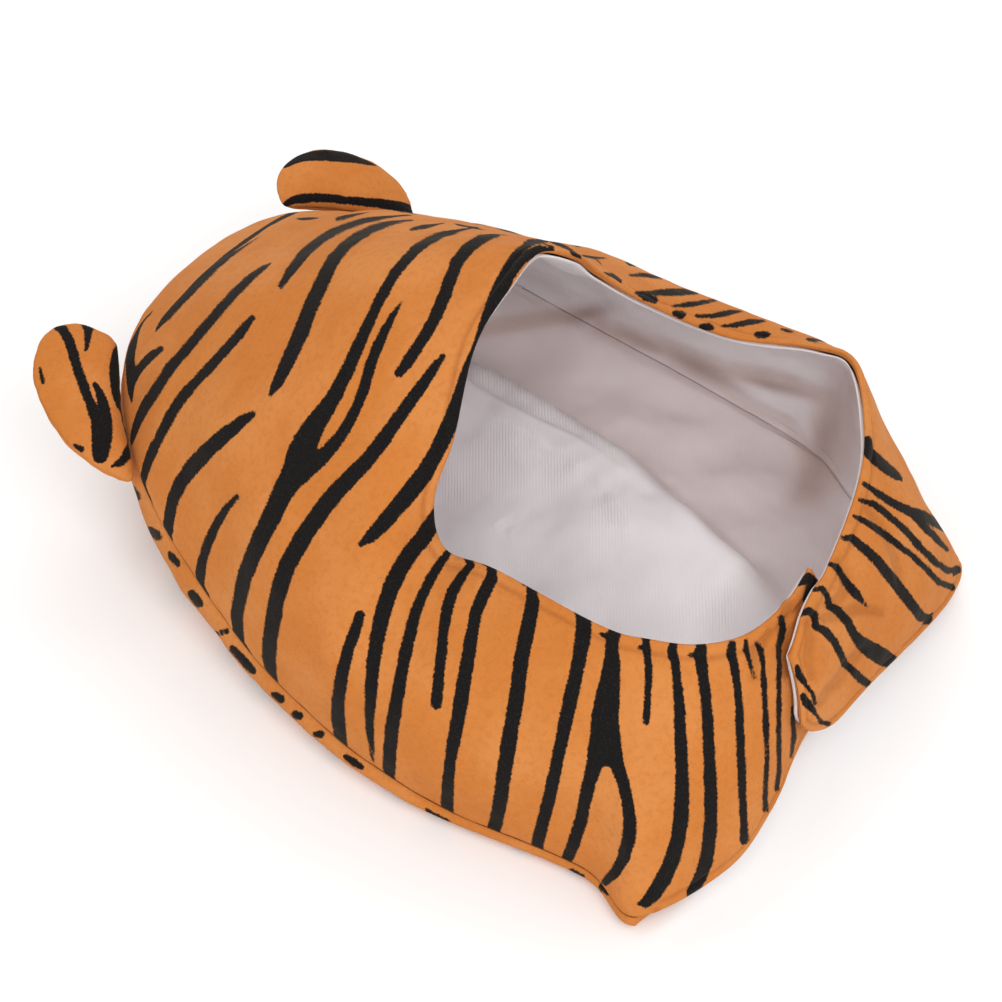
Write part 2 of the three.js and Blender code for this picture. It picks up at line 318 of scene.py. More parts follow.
# Outer face of the back panel: flat out to a foot line, then a cubic that bulges past the outline
def backFace(turns, reach):
    edge = backOutline(turns)
    away = outward(edge)
    rise = edge[..., 2:3]
    bulge = backShape["bulgeMost"] * smooth(rise, *backShape["bulgeGrows"]) + backShape["bulgePerRise"] * rise
    inset = backShape["insetLeast"] + backShape["insetPerRise"] * rise
    foot = edge * (1, 1, 0) - away * inset
    flat = backShape["flatShare"]
    share = reach[..., None] / flat
    level = np.array(backShape["middle"]) * (1 - share) + foot * share
    outerPull = edge + away * 2 * bulge - np.array([0, 0, 1]) * backShape["drop"] * rise
    footPull = foot + away * backShape["footReach"] * inset
    edge = edge - (0, 0, cloth["seamGap"] / 2)
    up = (reach[..., None] - flat) / (1 - flat)
    low = 1 - up
    wall = foot * low ** 3 + footPull * 3 * low * low * up + outerPull * 3 * low * up * up + edge * up ** 3
    return np.where(reach[..., None] <= flat, level, wall)


# The same face sunk by a depth, toward the middle as far as keeps the wall's thickness
def backPoint(turns, reach, depth):
    turnStep, reachStep = backShape["step"]
    face = backFace(turns, reach)
    around = backFace(turns + turnStep, reach) - backFace(turns - turnStep, reach)
    up = backFace(turns, reach + reachStep) - backFace(turns, reach - reachStep)
    normal = unit(np.cross(up, around))
    away = outward(face)
    sink = away * np.hypot(normal[..., 0], normal[..., 1])[..., None]
    sink[..., 2] = normal[..., 2]
    sink /= np.sum(sink * normal, -1, keepdims=True)
    fromCorner = np.minimum(turns, np.abs(turns - backShape["seamShare"]))
    nearCorner = smooth(fromCorner, 0, backShape["cornerTurns"])[..., None]
    share = smooth(reach, cloth["turnsLevel"], 1)[..., None]
    level = sink * (1 - share) + away * share
    sink = np.where((turns < backShape["seamShare"])[..., None], level, sink)
    sink = away * (1 - nearCorner) * share + sink * (1 - (1 - nearCorner) * share)
    isFlat = (reach <= backShape["flatShare"])[..., None]
    sink = np.where(isFlat, (0, 0, -1), sink)
    return face - sink * depth[..., None], np.where(isFlat, (0, 0, -1), unit(normal))


# Faces of a closed mesh from a grid of points whose last axis goes round a loop. Both ends are filled in
# strips: each spans the outer rows from one pair of an outer and an inner row to the next.
def loopFaces(columns, rows, pairs):
    i, j = np.meshgrid(np.arange(columns - 1), np.arange(rows), indexing="ij")
    here, beyond = i * rows, (i + 1) * rows
    after = (j + 1) % rows
    faces = np.stack([here + j, beyond + j, beyond + after, here + after], -1).reshape(-1, 4).tolist()
    for first in (0, (columns - 1) * rows):
        for (outerFrom, innerFrom), (outerTo, innerTo) in zip(pairs[:-1], pairs[1:]):
            cap = [*range(outerFrom, outerTo + 1), innerTo, innerFrom]
            cap = [first + row for row in dict.fromkeys(cap)]
            faces.append(cap if first else cap[::-1])
    return faces


# A strip of cloth: its outer points, and some of its inner ones on the way back
def strip(outer, inner, kept):
    last = outer.shape[1] - 1
    grid = np.concatenate([outer, inner[:, kept]], 1)
    pairs = [(0, 0)] + [(int(row), last + 1 + k) for k, row in enumerate(kept)][::-1] + [(last, last)]
    return grid.reshape(-1, 3), loopFaces(*grid.shape[:2], pairs)


# Values for the outer points of a strip, and a plain one for its inner ones
def stripValues(outer, kept, plain=0.0):
    return np.concatenate([outer, np.full((len(outer), len(kept)), plain)], 1)


# A closed dish: rings of points grow from a first middle point and shrink again to a last one
def dish(first, outer, inner, last):
    points = np.concatenate([[first], outer.reshape(-1, 3), inner.reshape(-1, 3), [last]])
    turns = outer.shape[1]
    i, j = np.meshgrid(np.arange(turns), np.arange(len(outer) + len(inner) - 1), indexing="ij")
    after = (i + 1) % turns
    quads = 1 + np.stack([j * turns + i, j * turns + after, (j + 1) * turns + after, (j + 1) * turns + i], -1)
    end = len(points) - 1
    opening = [[0, 1 + (k + 1) % turns, 1 + k] for k in range(turns)]
    closing = [[end, end - turns + k, end - turns + (k + 1) % turns] for k in range(turns)]
    return points, quads.reshape(-1, 4).tolist() + opening + closing


# Values for the outer points of a dish, and a plain one for the rest
def dishValues(outer, inner, plain=0.0):
    return np.concatenate([[plain], outer.ravel(), np.full(inner.size // 3 + 1, plain)])


def signedVolume(points, faces):
    corners = np.array([face[:4] if len(face) >= 4 else [*face, face[-1]] for face in faces])
    a, b, c, d = (points[corners[:, k]] for k in range(4))
    return np.sum(np.cross(a, b) * c) + np.sum(np.cross(a, c) * d)


# Faces in the order that makes them look outward
def turnedOut(points, faces):
    return [face[::-1] for face in faces] if signedVolume(points, faces) < 0 else faces


# An object of the scene from points in millimetres
def addObject(name, points, faces):
    mesh = bpy.data.meshes.new(name)
    mesh.from_pydata((points / 1000).tolist(), [], faces)
    added = bpy.data.objects.new(name, mesh)
    bpy.context.scene.collection.objects.link(added)
    return added


def makePiece(name, points, faces, finish, node, attributes=None):
    piece = addObject(name, points, turnedOut(points, faces))
    mesh = piece.data
    mesh.polygons.foreach_set("use_smooth", np.ones(len(mesh.polygons), bool))
    for key, values in (attributes or {}).items():
        store = mesh.attributes.new(key, "FLOAT", "POINT")
        store.data.foreach_set("value", np.asarray(values, np.float32).ravel())
    mesh.update()
    mesh.materials.append(finish)
    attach(piece, "root")
    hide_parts(node)
    print(name, len(points), "points")
    return piece


# Stripes of the plush as they are read off the photograph. Each stroke is a run of places in its
# pixels, x and y, with the stroke's width there in pixels.
nearStripes = {
    "crown by the far ear": [(320, 206, 2), (300, 210, 4), (280, 219, 6), (260, 231, 7), (240, 245, 8),
        (220, 261, 8), (200, 280, 9), (180, 301, 9), (166, 317, 8), (157, 329, 3)],
    "crown to the near ear": [(270, 264, 2), (261, 269, 5), (250, 278, 7), (230, 298, 8), (210, 321, 9),
        (190, 345, 9), (170, 368, 10), (155, 391, 10), (142, 412, 9), (134, 432, 6), (131, 445, 3)],
    "crown to the near side": [(252, 318, 6), (240, 333, 9), (220, 356, 9), (200, 377, 9), (182, 397, 10),
        (169, 418, 10), (159, 438, 9), (150, 457, 8), (144, 475, 7), (142, 489, 6), (144, 498, 4),
        (149, 508, 1)],
    "edge above the near ear": [(152, 312, 2), (143, 322, 3), (136, 335, 5), (131, 350, 10), (130, 362, 8),
        (131, 378, 8), (131, 392, 5), (132, 402, 1)],
    "short above the near ear": [(161, 349, 5), (150, 357, 8), (140, 368, 8), (132, 382, 8), (131, 392, 4)],
    "crown middle": [(281, 286, 5), (290, 271, 8), (305, 253, 9), (320, 240, 8), (335, 231, 7),
        (350, 225, 6), (366, 220, 5), (386, 217, 4), (410, 215, 2)],
    "crown short far": [(337, 219, 3), (348, 216, 4), (358, 214, 3), (369, 212, 1)],
    "crown broad": [(412, 220, 2), (395, 222, 3), (387, 224, 5), (372, 229, 7), (357, 237, 9),
        (345, 246, 10), (333, 260, 12), (325, 276, 13), (317, 293, 14), (309, 311, 14), (302, 330, 15),
        (294, 348, 14), (285, 367, 13), (277, 383, 10), (270, 395, 3)],
    "crown dash": [(411, 230, 2), (421, 227, 4), (432, 225, 4), (444, 223, 1)],
    "long forked": [(478, 227, 1), (460, 230, 4), (443, 234, 6), (428, 241, 8), (415, 250, 9),
        (405, 261, 9), (395, 273, 10), (387, 286, 10), (379, 301, 10), (372, 316, 10), (364, 333, 11),
        (356, 351, 12), (347, 371, 13), (337, 391, 14), (327, 408, 16), (315, 424, 20), (306, 441, 25),
        (300, 457, 28), (293, 475, 24), (281, 496, 20), (272, 515, 19), (262, 535, 17), (253, 555, 16),
        (245, 576, 15), (240, 596, 13), (237, 615, 12), (238, 632, 10), (242, 648, 9), (248, 661, 8),
        (255, 671, 6)],
    "fork's other arm": [(402, 302, 1), (393, 315, 6), (385, 331, 8), (377, 348, 10), (370, 366, 10),
        (365, 385, 10), (359, 402, 10), (350, 421, 10), (339, 438, 11), (326, 453, 14), (313, 465, 16),
        (300, 478, 14)],
    "brow": [(506, 235, 1), (493, 235, 6), (480, 240, 10), (467, 249, 11), (457, 262, 12), (450, 279, 12),
        (444, 297, 12), (436, 315, 12), (427, 332, 11), (417, 348, 11), (407, 363, 11), (399, 373, 9)],
    "temple long": [(443, 356, 5), (432, 371, 9), (420, 388, 11), (406, 407, 12), (393, 426, 13),
        (382, 441, 14), (369, 458, 14), (353, 475, 15), (336, 492, 16), (322, 510, 17), (309, 528, 17),
        (298, 546, 17), (288, 564, 17), (281, 583, 16), (276, 602, 15), (273, 620, 15), (270, 640, 14),
        (269, 658, 13), (272, 674, 9), (278, 688, 2)],
    "brow edge": [(580, 257, 3), (566, 248, 6), (556, 243, 7), (545, 240, 6), (530, 243, 6), (518, 252, 7),
        (508, 266, 8), (500, 281, 9), (494, 296, 10), (489, 311, 10), (484, 328, 11), (479, 345, 12),
        (472, 364, 14), (465, 384, 15), (459, 402, 16), (452, 419, 16), (443, 439, 15), (434, 456, 15),
        (424, 474, 17), (410, 492, 17), (396, 508, 16), (382, 525, 14), (370, 537, 11), (361, 544, 5)],
    "brow edge by the rim": [(566, 254, 4), (552, 252, 7), (540, 250, 9), (528, 254, 10), (518, 263, 10),
        (509, 277, 10), (502, 293, 10), (497, 309, 10), (492, 325, 9), (486, 342, 9), (479, 359, 9),
        (472, 377, 9), (466, 395, 9), (459, 411, 9), (452, 428, 8), (445, 446, 6)],
    "side short": [(237, 497, 4), (226, 509, 7), (216, 525, 8), (208, 542, 9), (203, 559, 8), (200, 576, 8),
        (200, 590, 9), (200, 602, 9)],
    "side blob": [(253, 414, 6), (242, 421, 11), (226, 434, 14), (208, 450, 15), (193, 466, 15),
        (181, 482, 13), (174, 498, 11), (170, 513, 9), (168, 528, 9), (168, 541, 8)],
    "cheek from the corner": [(460, 471, 1), (455, 482, 10), (450, 492, 14), (443, 507, 14), (435, 520, 15),
        (424, 536, 16), (411, 552, 16), (400, 569, 16), (391, 587, 16), (385, 605, 15), (380, 625, 15),
        (376, 645, 14), (373, 665, 13), (371, 690, 12), (370, 712, 9), (370, 733, 7), (372, 750, 4),
        (373, 766, 1)],
    "cheek lone": [(360, 615, 9), (355, 631, 11), (348, 650, 11), (343, 670, 12), (340, 686, 12),
        (338, 702, 12), (338, 718, 13), (340, 733, 12), (344, 744, 6), (347, 751, 1)],
    "cheek second": [(451, 549, 5), (441, 562, 8), (431, 578, 9), (421, 598, 10), (414, 618, 11),
        (409, 638, 12), (404, 660, 12), (400, 682, 12), (396, 705, 13), (392, 727, 13), (390, 748, 13),
        (389, 768, 12), (391, 779, 8), (395, 787, 1)],
    "corner hem mark": [(452, 533, 4), (447, 541, 6)],
    "second hem mark": [(471, 548, 7), (467, 557, 7), (471, 565, 6)],
    "cheek third": [(471, 565, 7), (462, 576, 9), (452, 593, 11), (447, 609, 11), (444, 627, 10),
        (442, 646, 10), (440, 665, 10), (438, 684, 11), (436, 704, 11)],
    "third hem mark": [(485, 562, 6), (497, 565, 7)],
    "cheek fourth": [(491, 562, 8), (492, 571, 9), (491, 580, 12), (483, 596, 12), (476, 613, 12),
        (472, 632, 12), (469, 652, 13), (465, 674, 13), (462, 696, 14), (458, 718, 13), (454, 740, 12),
        (450, 762, 11), (448, 783, 11), (447, 803, 12), (447, 826, 12)],
    "fourth hem mark": [(525, 582, 6), (540, 584, 6)],
    "cheek fifth": [(532, 582, 9), (531, 591, 9), (533, 602, 13), (530, 617, 14), (526, 636, 14),
        (522, 656, 14), (519, 678, 14), (516, 700, 15), (512, 724, 15), (508, 748, 15), (504, 773, 14),
        (501, 797, 14), (497, 818, 13), (492, 838, 13)],
    "fifth hem mark": [(574, 606, 6), (583, 611, 10), (593, 615, 6)],
    "cheek sixth": [(583, 612, 15), (584, 626, 15), (582, 643, 15), (578, 665, 14), (573, 688, 14),
        (567, 714, 13), (562, 738, 12), (557, 762, 12), (552, 786, 12), (546, 810, 12), (540, 834, 12),
        (535, 856, 11)],
    "fork hem mark": [(601, 634, 3), (610, 638, 6)],
    "cheek fork": [(614, 624, 9), (615, 632, 12), (612, 642, 12), (612, 660, 15), (610, 680, 20),
        (607, 700, 24), (605, 720, 27), (605, 738, 31), (605, 750, 33)],
    "fork's near arm": [(598, 750, 20), (595, 764, 16), (589, 782, 13), (585, 800, 12), (581, 820, 12),
        (575, 840, 12), (566, 862, 11)],
    "fork's far arm": [(612, 750, 20), (617, 764, 14), (623, 782, 11), (627, 800, 11), (630, 820, 12),
        (629, 838, 13), (624, 856, 12), (616, 871, 10), (605, 882, 7)],
    "thin hem mark": [(639, 647, 3), (647, 648, 5)],
    "jaw thin": [(646, 637, 7), (646, 647, 8), (648, 660, 7), (649, 675, 7), (648, 692, 6), (647, 708, 6),
        (646, 722, 6)],
    "jaw first": [(673, 645, 8), (672, 653, 10), (675, 662, 8), (677, 680, 8), (679, 700, 10),
        (680, 722, 11), (681, 746, 12), (682, 770, 12), (682, 795, 14), (681, 818, 15), (678, 840, 14),
        (672, 860, 15), (664, 878, 15), (654, 894, 14), (645, 903, 9), (639, 903, 4)],
    "jaw hem mark": [(689, 655, 3), (699, 656, 5)],
    "jaw second": [(701, 647, 11), (700, 656, 12), (702, 666, 11), (704, 682, 10), (706, 702, 10),
        (708, 724, 11), (709, 748, 11), (710, 772, 12), (711, 796, 12), (711, 820, 12), (709, 842, 13),
        (706, 862, 13), (700, 878, 12), (692, 893, 10)],
    "jaw third": [(732, 644, 7), (731, 654, 9), (734, 664, 8), (737, 682, 7), (739, 706, 7), (740, 730, 8),
        (741, 755, 8), (742, 780, 8), (743, 805, 7), (744, 826, 7), (744, 840, 9)],
    "flap short thin": [(746, 640, 3), (746, 650, 5), (750, 663, 4), (754, 678, 2)],
    "flap first": [(756, 643, 3), (761, 650, 5), (763, 665, 5), (764, 685, 5), (765, 705, 5), (766, 730, 5),
        (767, 755, 4), (766, 778, 4), (765, 800, 4), (766, 810, 5)],
    "flap second": [(781, 618, 6), (783, 630, 6), (779, 645, 5), (779, 660, 4), (779, 690, 4),
        (779, 720, 4), (779, 750, 4), (779, 770, 4), (777, 790, 4)],
    "chin blob": [(799, 584, 4), (808, 578, 9), (813, 582, 10), (809, 592, 7), (805, 600, 5)],
    "flap third": [(792, 706, 2), (793, 722, 4), (794, 738, 4), (791, 757, 2)],
}
farStripes = {
    "brow edge": nearStripes["brow edge"][:6],
    "far neck blob": [(868, 440, 8), (868, 452, 12), (878, 461, 12), (888, 469, 11), (897, 476, 8),
        (902, 480, 2)],
    "far neck forked": [(864, 484, 5), (879, 494, 7), (895, 504, 8), (909, 511, 10), (921, 516, 12),
        (932, 520, 10), (943, 527, 8)],
    "far neck fork's arm": [(915, 515, 10), (925, 527, 8), (936, 538, 7), (947, 550, 4)],
    "far jaw first": [(860, 500, 4), (874, 504, 7), (888, 515, 6), (905, 530, 7), (920, 547, 7),
        (935, 562, 7), (948, 571, 6), (960, 569, 5)],
    "far jaw second": [(854, 516, 4), (864, 521, 6), (878, 530, 7), (893, 541, 7), (910, 554, 6),
        (925, 568, 6), (940, 583, 6), (953, 587, 6)],
    "far jaw broad": [(843, 538, 5), (852, 538, 8), (862, 547, 10), (876, 559, 10), (888, 574, 11),
        (900, 589, 11), (911, 604, 11), (921, 617, 10), (930, 618, 6)],
    "far flap hook": [(829, 564, 4), (837, 567, 7), (842, 576, 6), (847, 584, 9), (856, 594, 9),
        (867, 606, 3)],
    "far flap wedge": [(814, 590, 4), (822, 588, 6), (827, 596, 6), (829, 606, 7), (838, 611, 9),
        (847, 621, 9), (854, 634, 9), (862, 643, 14), (871, 650, 17), (883, 657, 18), (892, 662, 14)],
    "far flap lower": [(800, 614, 5), (809, 611, 8), (815, 615, 8), (815, 626, 7), (825, 631, 9),
        (834, 641, 8), (840, 652, 7), (845, 664, 7), (853, 671, 8), (861, 679, 9), (867, 683, 8)],
    "flap end upper": [(797, 667, 5), (799, 675, 8), (806, 685, 4), (813, 694, 4), (815, 703, 4)],
    "flap end lower": [(803, 696, 6), (807, 703, 9), (812, 709, 6), (817, 716, 3), (821, 722, 5),
        (829, 724, 4)],
    "far rim dash": [(583, 256, 3), (592, 257, 5), (605, 258, 2)],
    "far rim second dash": [(630, 275, 2), (642, 275, 4), (655, 276, 4), (665, 279, 2)],
    "far rim third dash": [(640, 293, 3), (655, 293, 6), (670, 292, 7), (685, 292, 7), (697, 293, 3)],
    "far rim fourth dash": [(673, 306, 2), (685, 305, 5), (700, 303, 5), (716, 300, 2)],
    "far rim fifth dash": [(697, 316, 3), (712, 316, 5), (728, 313, 6), (742, 311, 2)],
    "far rim sixth dash": [(721, 326, 2), (735, 325, 5), (750, 322, 6), (765, 321, 2)],
    "far rim seventh dash": [(781, 329, 2), (788, 331, 3), (793, 332, 1)],
    "far rim last dash": [(808, 339, 3), (818, 340, 5), (828, 343, 2)],
    "far hem dot": [(606, 274, 5), (613, 277, 7), (620, 281, 4)],
    "far hem second dot": [(637, 293, 4), (645, 296, 9), (655, 300, 7)],
    "far hem third dot": [(675, 313, 6), (681, 315, 9), (684, 315, 5)],
    "far hem fourth dot": [(703, 327, 8), (709, 327, 8), (712, 328, 5)],
    "far hem last dot": [(757, 335, 6), (763, 335, 8), (768, 334, 5)],
}
backStripes = {
    "first mark": [(132, 488, 5), (138, 497, 6)],
    "second mark": [(150, 530, 7), (158, 536, 9)],
    "third mark": [(171, 555, 7), (178, 564, 6)],
    "fourth mark": [(192, 594, 8), (199, 603, 9)],
    "fifth mark": [(217, 634, 5), (226, 631, 6)],
    "long mark": [(233, 649, 7), (244, 661, 8), (253, 671, 6)],
    "sixth mark": [(274, 694, 5), (281, 699, 8)],
    "seventh mark": [(295, 714, 7), (299, 716, 8)],
    "eighth mark": [(315, 734, 5), (321, 734, 7)],
    "ninth mark": [(346, 757, 5), (354, 762, 7), (361, 767, 5)],
    "tenth mark": [(427, 810, 3), (437, 817, 5), (448, 822, 5)],
    "corner mark": [(602, 887, 6), (608, 892, 7)],
    "neck mark": [(629, 901, 8), (632, 912, 8)],
    "thin mark": [(571, 870, 3), (583, 876, 3)],
}
rightEarStripes = {
    "long": [(56, 325, 5), (63, 330, 8), (70, 343, 9), (75, 360, 9), (80, 376, 9), (86, 392, 9),
        (92, 407, 10), (98, 419, 14), (101, 433, 18), (101, 447, 18), (100, 456, 14)],
    "second prong": [(95, 384, 3), (100, 394, 8), (104, 408, 10), (107, 422, 10), (108, 436, 8),
        (106, 450, 6)],
    "by the seam": [(118, 345, 5), (116, 362, 8), (115, 380, 8), (118, 398, 7), (122, 413, 7),
        (126, 428, 6), (129, 441, 6), (128, 453, 8), (121, 462, 7), (113, 466, 2)],
    "short": [(83, 321, 6), (87, 325, 8), (88, 336, 6), (86, 350, 2)],
    "edge mark": [(75, 446, 3), (81, 449, 6)],
    "side mark": [(40, 368, 2), (43, 382, 3)],
}
leftEarStripes = {
    "top band": [(286, 166, 3), (296, 160, 6), (308, 156, 9), (325, 155, 10), (345, 156, 10), (360, 160, 7),
        (375, 165, 1)],
    "base band": [(279, 209, 3), (291, 201, 7), (306, 198, 9), (326, 198, 8), (345, 200, 7), (365, 202, 8),
        (385, 204, 9), (404, 207, 8), (415, 211, 3)],
}


# Stripes guessed for the far side of the crown: how far along and across the panel, and width in millimetres
farSideStripes = {
    "over the crown": [(12.15, 0.42, 1), (12.35, 0.55, 4), (12.55, 0.70, 6), (12.65, 0.84, 6),
        (12.7, 0.96, 4)],
    "by the crown": [(12.75, 0.22, 1), (12.95, 0.36, 4), (13.15, 0.52, 6), (13.3, 0.68, 5),
        (13.35, 0.8, 1)],
    "long": [(13.3, 0.10, 1), (13.5, 0.24, 5), (13.65, 0.42, 7), (13.75, 0.58, 6), (13.8, 0.72, 5),
        (13.9, 0.84, 1)],
    "short": [(14.0, 0.16, 1), (14.1, 0.28, 4), (14.2, 0.42, 6), (14.25, 0.54, 4), (14.3, 0.62, 1)],
    "second long": [(14.45, 0.12, 1), (14.55, 0.26, 4), (14.65, 0.44, 6), (14.75, 0.58, 4),
        (14.8, 0.68, 1)],
    "third": [(14.95, 0.2, 1), (15.05, 0.34, 4), (15.15, 0.46, 5), (15.2, 0.56, 1)],
}


# Soft creases of the plush, charted in the same way: sunk, and given painted shade
creases = {
    "from the far rim": [(838, 562, 4), (846, 574, 6), (848, 588, 6), (840, 600, 6), (829, 604, 4)],
    "across the flap": [(826, 618, 4), (842, 614, 6), (862, 608, 6), (884, 612, 3)],
    "by the flap's end": [(808, 622, 4), (812, 640, 6), (809, 658, 6), (812, 676, 4)],
    "low on the flap": [(820, 704, 3), (830, 690, 6), (843, 678, 7), (850, 664, 6), (864, 652, 3)],
    "far jaw": [(868, 508, 3), (884, 530, 5), (896, 556, 5), (902, 580, 3)],
    "near flap": [(790, 604, 4), (784, 622, 7), (786, 645, 6), (788, 672, 4)],
    "near flap's hem": [(770, 632, 3), (758, 652, 5), (756, 676, 3)],
}


noStripe = 5.0                 # distance to a stripe, in millimetres, from which on a point is plain
samples = {"along": 3000, "across": 120, "seam": 4000}


# A camera ray through a pixel, and the pixel of a point, by the camera's own numbers
def rayThrough(pixels):
    middle = cameraPlace["imagePixels"] / 2
    across = (pixels[..., :1] - middle) / cameraPlace["focalPixels"]
    up = (middle - pixels[..., 1:2]) / cameraPlace["focalPixels"]
    return unit(lookAlong + cameraRight * across + cameraUp * up)


def pixelOf(points):
    away = points / 1000 - cameraSpot
    depth = away @ lookAlong
    middle = cameraPlace["imagePixels"] / 2
    x = middle + cameraPlace["focalPixels"] * (away @ cameraRight) / depth
    y = middle - cameraPlace["focalPixels"] * (away @ cameraUp) / depth
    return np.stack([x, y], -1)


def sheetTree(grid, closed=False):
    rows, columns = grid.shape[:2]
    i, j = np.meshgrid(np.arange(rows - 1), np.arange(columns if closed else columns - 1), indexing="ij")
    here, beyond = i * columns, (i + 1) * columns
    after = (j + 1) % columns
    quads = np.stack([here + j, here + after, beyond + after, beyond + j], -1)
    return BVHTree.FromPolygons((grid.reshape(-1, 3) / 1000).tolist(), quads.reshape(-1, 4).tolist())


# Where a pixel's ray first meets a surface, or else the surface's point that looks nearest to the pixel
def landOn(tree, points, pixels):
    shown = pixelOf(points)
    landed = []
    for pixel, ray in zip(pixels, rayThrough(pixels)):
        hit = tree.ray_cast(Vector(cameraSpot), Vector(ray))[0]
        if hit is None:
            nearest = np.argmin(np.sum((shown - pixel) ** 2, 1))
            hit = points[nearest] / 1000
        landed.append(np.array(hit) * 1000)
    return np.array(landed)


def nearestOn(tree, points):
    return np.array([tree.find_nearest(Vector(point) / 1000)[0] for point in points]) * 1000


# Each stroke becomes a run of balls on the surface: its middle line and both its sides are landed on it,
# and a ball's radius is half the distance between the sides
def landedStrokes(chart, tree, points, step=3.0, reach=2.0):
    strokes = []
    for rows in chart.values():
        rows = np.array(rows, float)
        run = runAlong(rows[:, :2])
        count = max(2, int(run[-1] / step) + 1)
        rows = curveThrough(rows, np.interp(np.linspace(0, run[-1], count), run, np.arange(len(rows))))
        heading = unit(np.gradient(rows[:, :2], axis=0))
        side = np.stack([-heading[:, 1], heading[:, 0]], -1) * rows[:, 2:3] / 2
        middle, one, other = (landOn(tree, points, rows[:, :2] + way * side) for way in (0, 1, -1))
        depth = (middle / 1000 - cameraSpot) @ lookAlong
        flatWidth = rows[:, 2] / cameraPlace["focalPixels"] * depth * 1000
        width = np.clip(np.linalg.norm(one - other, axis=1), flatWidth, flatWidth * reach)
        strokes.append((middle, width / 2))
    return strokes


# Share of each point that faces the camera, from 0 on its silhouette to 1
def facing(points, normals):
    away = unit(cameraSpot - points / 1000)
    return np.sum(away * normals, -1)


# Signed distance in millimetres from each point to the nearest stroke, below 0 inside it
def distanceTo(strokes, points, farthest=noStripe, atOnce=4000):
    field = np.full(len(points), farthest)
    for middle, radius in strokes:
        low = middle.min(0) - radius.max() - farthest
        high = middle.max(0) + radius.max() + farthest
        near = np.flatnonzero(np.all((points > low) & (points < high), axis=1))
        for part in np.array_split(near, max(1, len(near) // atOnce)):
            if len(part) == 0:
                continue
            start, span = middle[:-1], np.diff(middle, axis=0)
            away = points[part][:, None] - start
            share = np.sum(away * span, -1) / np.maximum(np.sum(span * span, -1), 1e-6)
            share = np.clip(share, 0, 1)
            gap = np.linalg.norm(away - span * share[..., None], axis=-1)
            gap -= radius[:-1] * (1 - share) + radius[1:] * share
            field[part] = np.minimum(field[part], gap.min(1))
    return field


# Soft unevenness of cloth, about -1 to 1: many slanted sine waves added up
def unevenness(points, size, seed, waves=24):
    chance = np.random.default_rng(seed)
    ways = unit(chance.normal(size=(waves, 3))) * chance.uniform(0.7, 1.4, (waves, 1)) * 2 * math.pi / size
    return np.sin(points @ ways.T + chance.uniform(0, 2 * math.pi, waves)).sum(-1) / math.sqrt(waves)


def clothRelief(points, look, seeds):
    return (look["foldDeep"] * unevenness(points, look["foldSize"], seeds[0]),
            look["rippleDeep"] * unevenness(points, look["rippleSize"], seeds[1]))


# Which points the camera doesn't see past the piece itself
def hiddenPoints(tree, points, slack=0.002):
    spot = Vector(cameraSpot)
    hidden = []
    for point in points / 1000:
        way = Vector(point) - spot
        hit = tree.ray_cast(spot, way)[0]
        hidden.append(hit is not None and (hit - spot).length < way.length - slack)
    return np.array(hidden)


# Keeps the stretches of each stroke that the camera doesn't see, and draws their ends thin
def unseenStretches(strokes, hiddenParts, taper=9.0, fewest=4, thinnest=0.05, endCut=0.4):
    kept = []
    for (middle, radius), hidden in zip(strokes, hiddenParts):
        edges = np.flatnonzero(np.diff(np.concatenate([[False], hidden, [False]]).astype(int)))
        for start, stop in zip(edges[::2], edges[1::2]):
            if stop - start < fewest:
                continue
            run = runAlong(middle[start:stop])
            thin = np.minimum(1, np.minimum(run, run[-1] - run) / taper)
            kept.append((middle[start:stop], radius[start:stop] * thin - endCut * (thin < thinnest)))
    return kept


# Distance of points to the strokes as the photograph shows them side by side, in its millimetres
def chartDistance(chart, points):
    scale = cameraPlace["distance"] * 1000 / cameraPlace["focalPixels"]
    strokes = [(np.array([(x * scale, y * scale, 0) for x, y, _ in rows]), np.array(rows)[:, 2] * scale / 2)
               for rows in chart.values()]
    flat = np.concatenate([pixelOf(points) * scale, np.zeros((len(points), 1))], 1)
    return distanceTo(strokes, flat)


# Distance of points of a face to a chart's strokes: as charted where the camera sees the face plainly, and
# to the landed strokes where it doesn't
def drawnStripes(chart, landed, skin, normals, plainView=(0.05, 0.14)):
    shown = smooth(facing(skin, normals), *plainView)
    return chartDistance(chart, skin) * shown + distanceTo(landed, skin) * (1 - shown)


# Distance to a line that is given in the photograph's pixels, positive on its upper side
def aboveLine(line, points):
    line = np.array(line, float)
    spots = pixelOf(points)
    nearest = np.full(spots.shape[:-1], np.inf)
    side = np.zeros_like(nearest)
    for start, stop in zip(line[:-1], line[1:]):
        span = stop - start
        share = np.clip((spots - start) @ span / (span @ span), 0, 1)
        away = spots - start - share[..., None] * span
        gap = np.hypot(away[..., 0], away[..., 1])
        closer = gap < nearest
        side = np.where(closer, np.sign(away[..., 0] * span[1] - away[..., 1] * span[0]), side)
        nearest = np.minimum(nearest, gap)
    return nearest * side


# The hem's roll and its stitch groove, which is sunk and also gets painted shade
def hemProfile(distance, look):
    roll = look["hemRoll"] * np.sin(np.clip(distance / look["hem"], 0, 1) * math.pi)
    grooveAndShade = np.exp(-((distance - look["hem"]) / look["grooveWide"]) ** 2)
    return roll, grooveAndShade


# How far a point sinks where the cloth turns round an edge: a quarter circle of half the wall
def turnedEdge(fromEdge, radius, fromEnd=math.inf):
    first = 1 - np.clip(fromEdge / radius, 0, 1)
    second = 1 - np.clip(fromEnd / radius, 0, 1)
    return radius * (1 - np.sqrt(np.clip(1 - first ** 2 - second ** 2, 0, 1)))


# The plush beside its seam: turned in sharply, drawn to the other panel, and given painted shade
def sewnEdge(fromEdge, onNeck):
    return fromEdge * (1 + (cloth["seamSharp"] - 1) * (1 - onNeck))


def drawnClose(fromEdge, onNeck):
    return cloth["seamClose"] * (1 - smooth(fromEdge, 0, cloth["closeWithin"])) * (1 - onNeck)


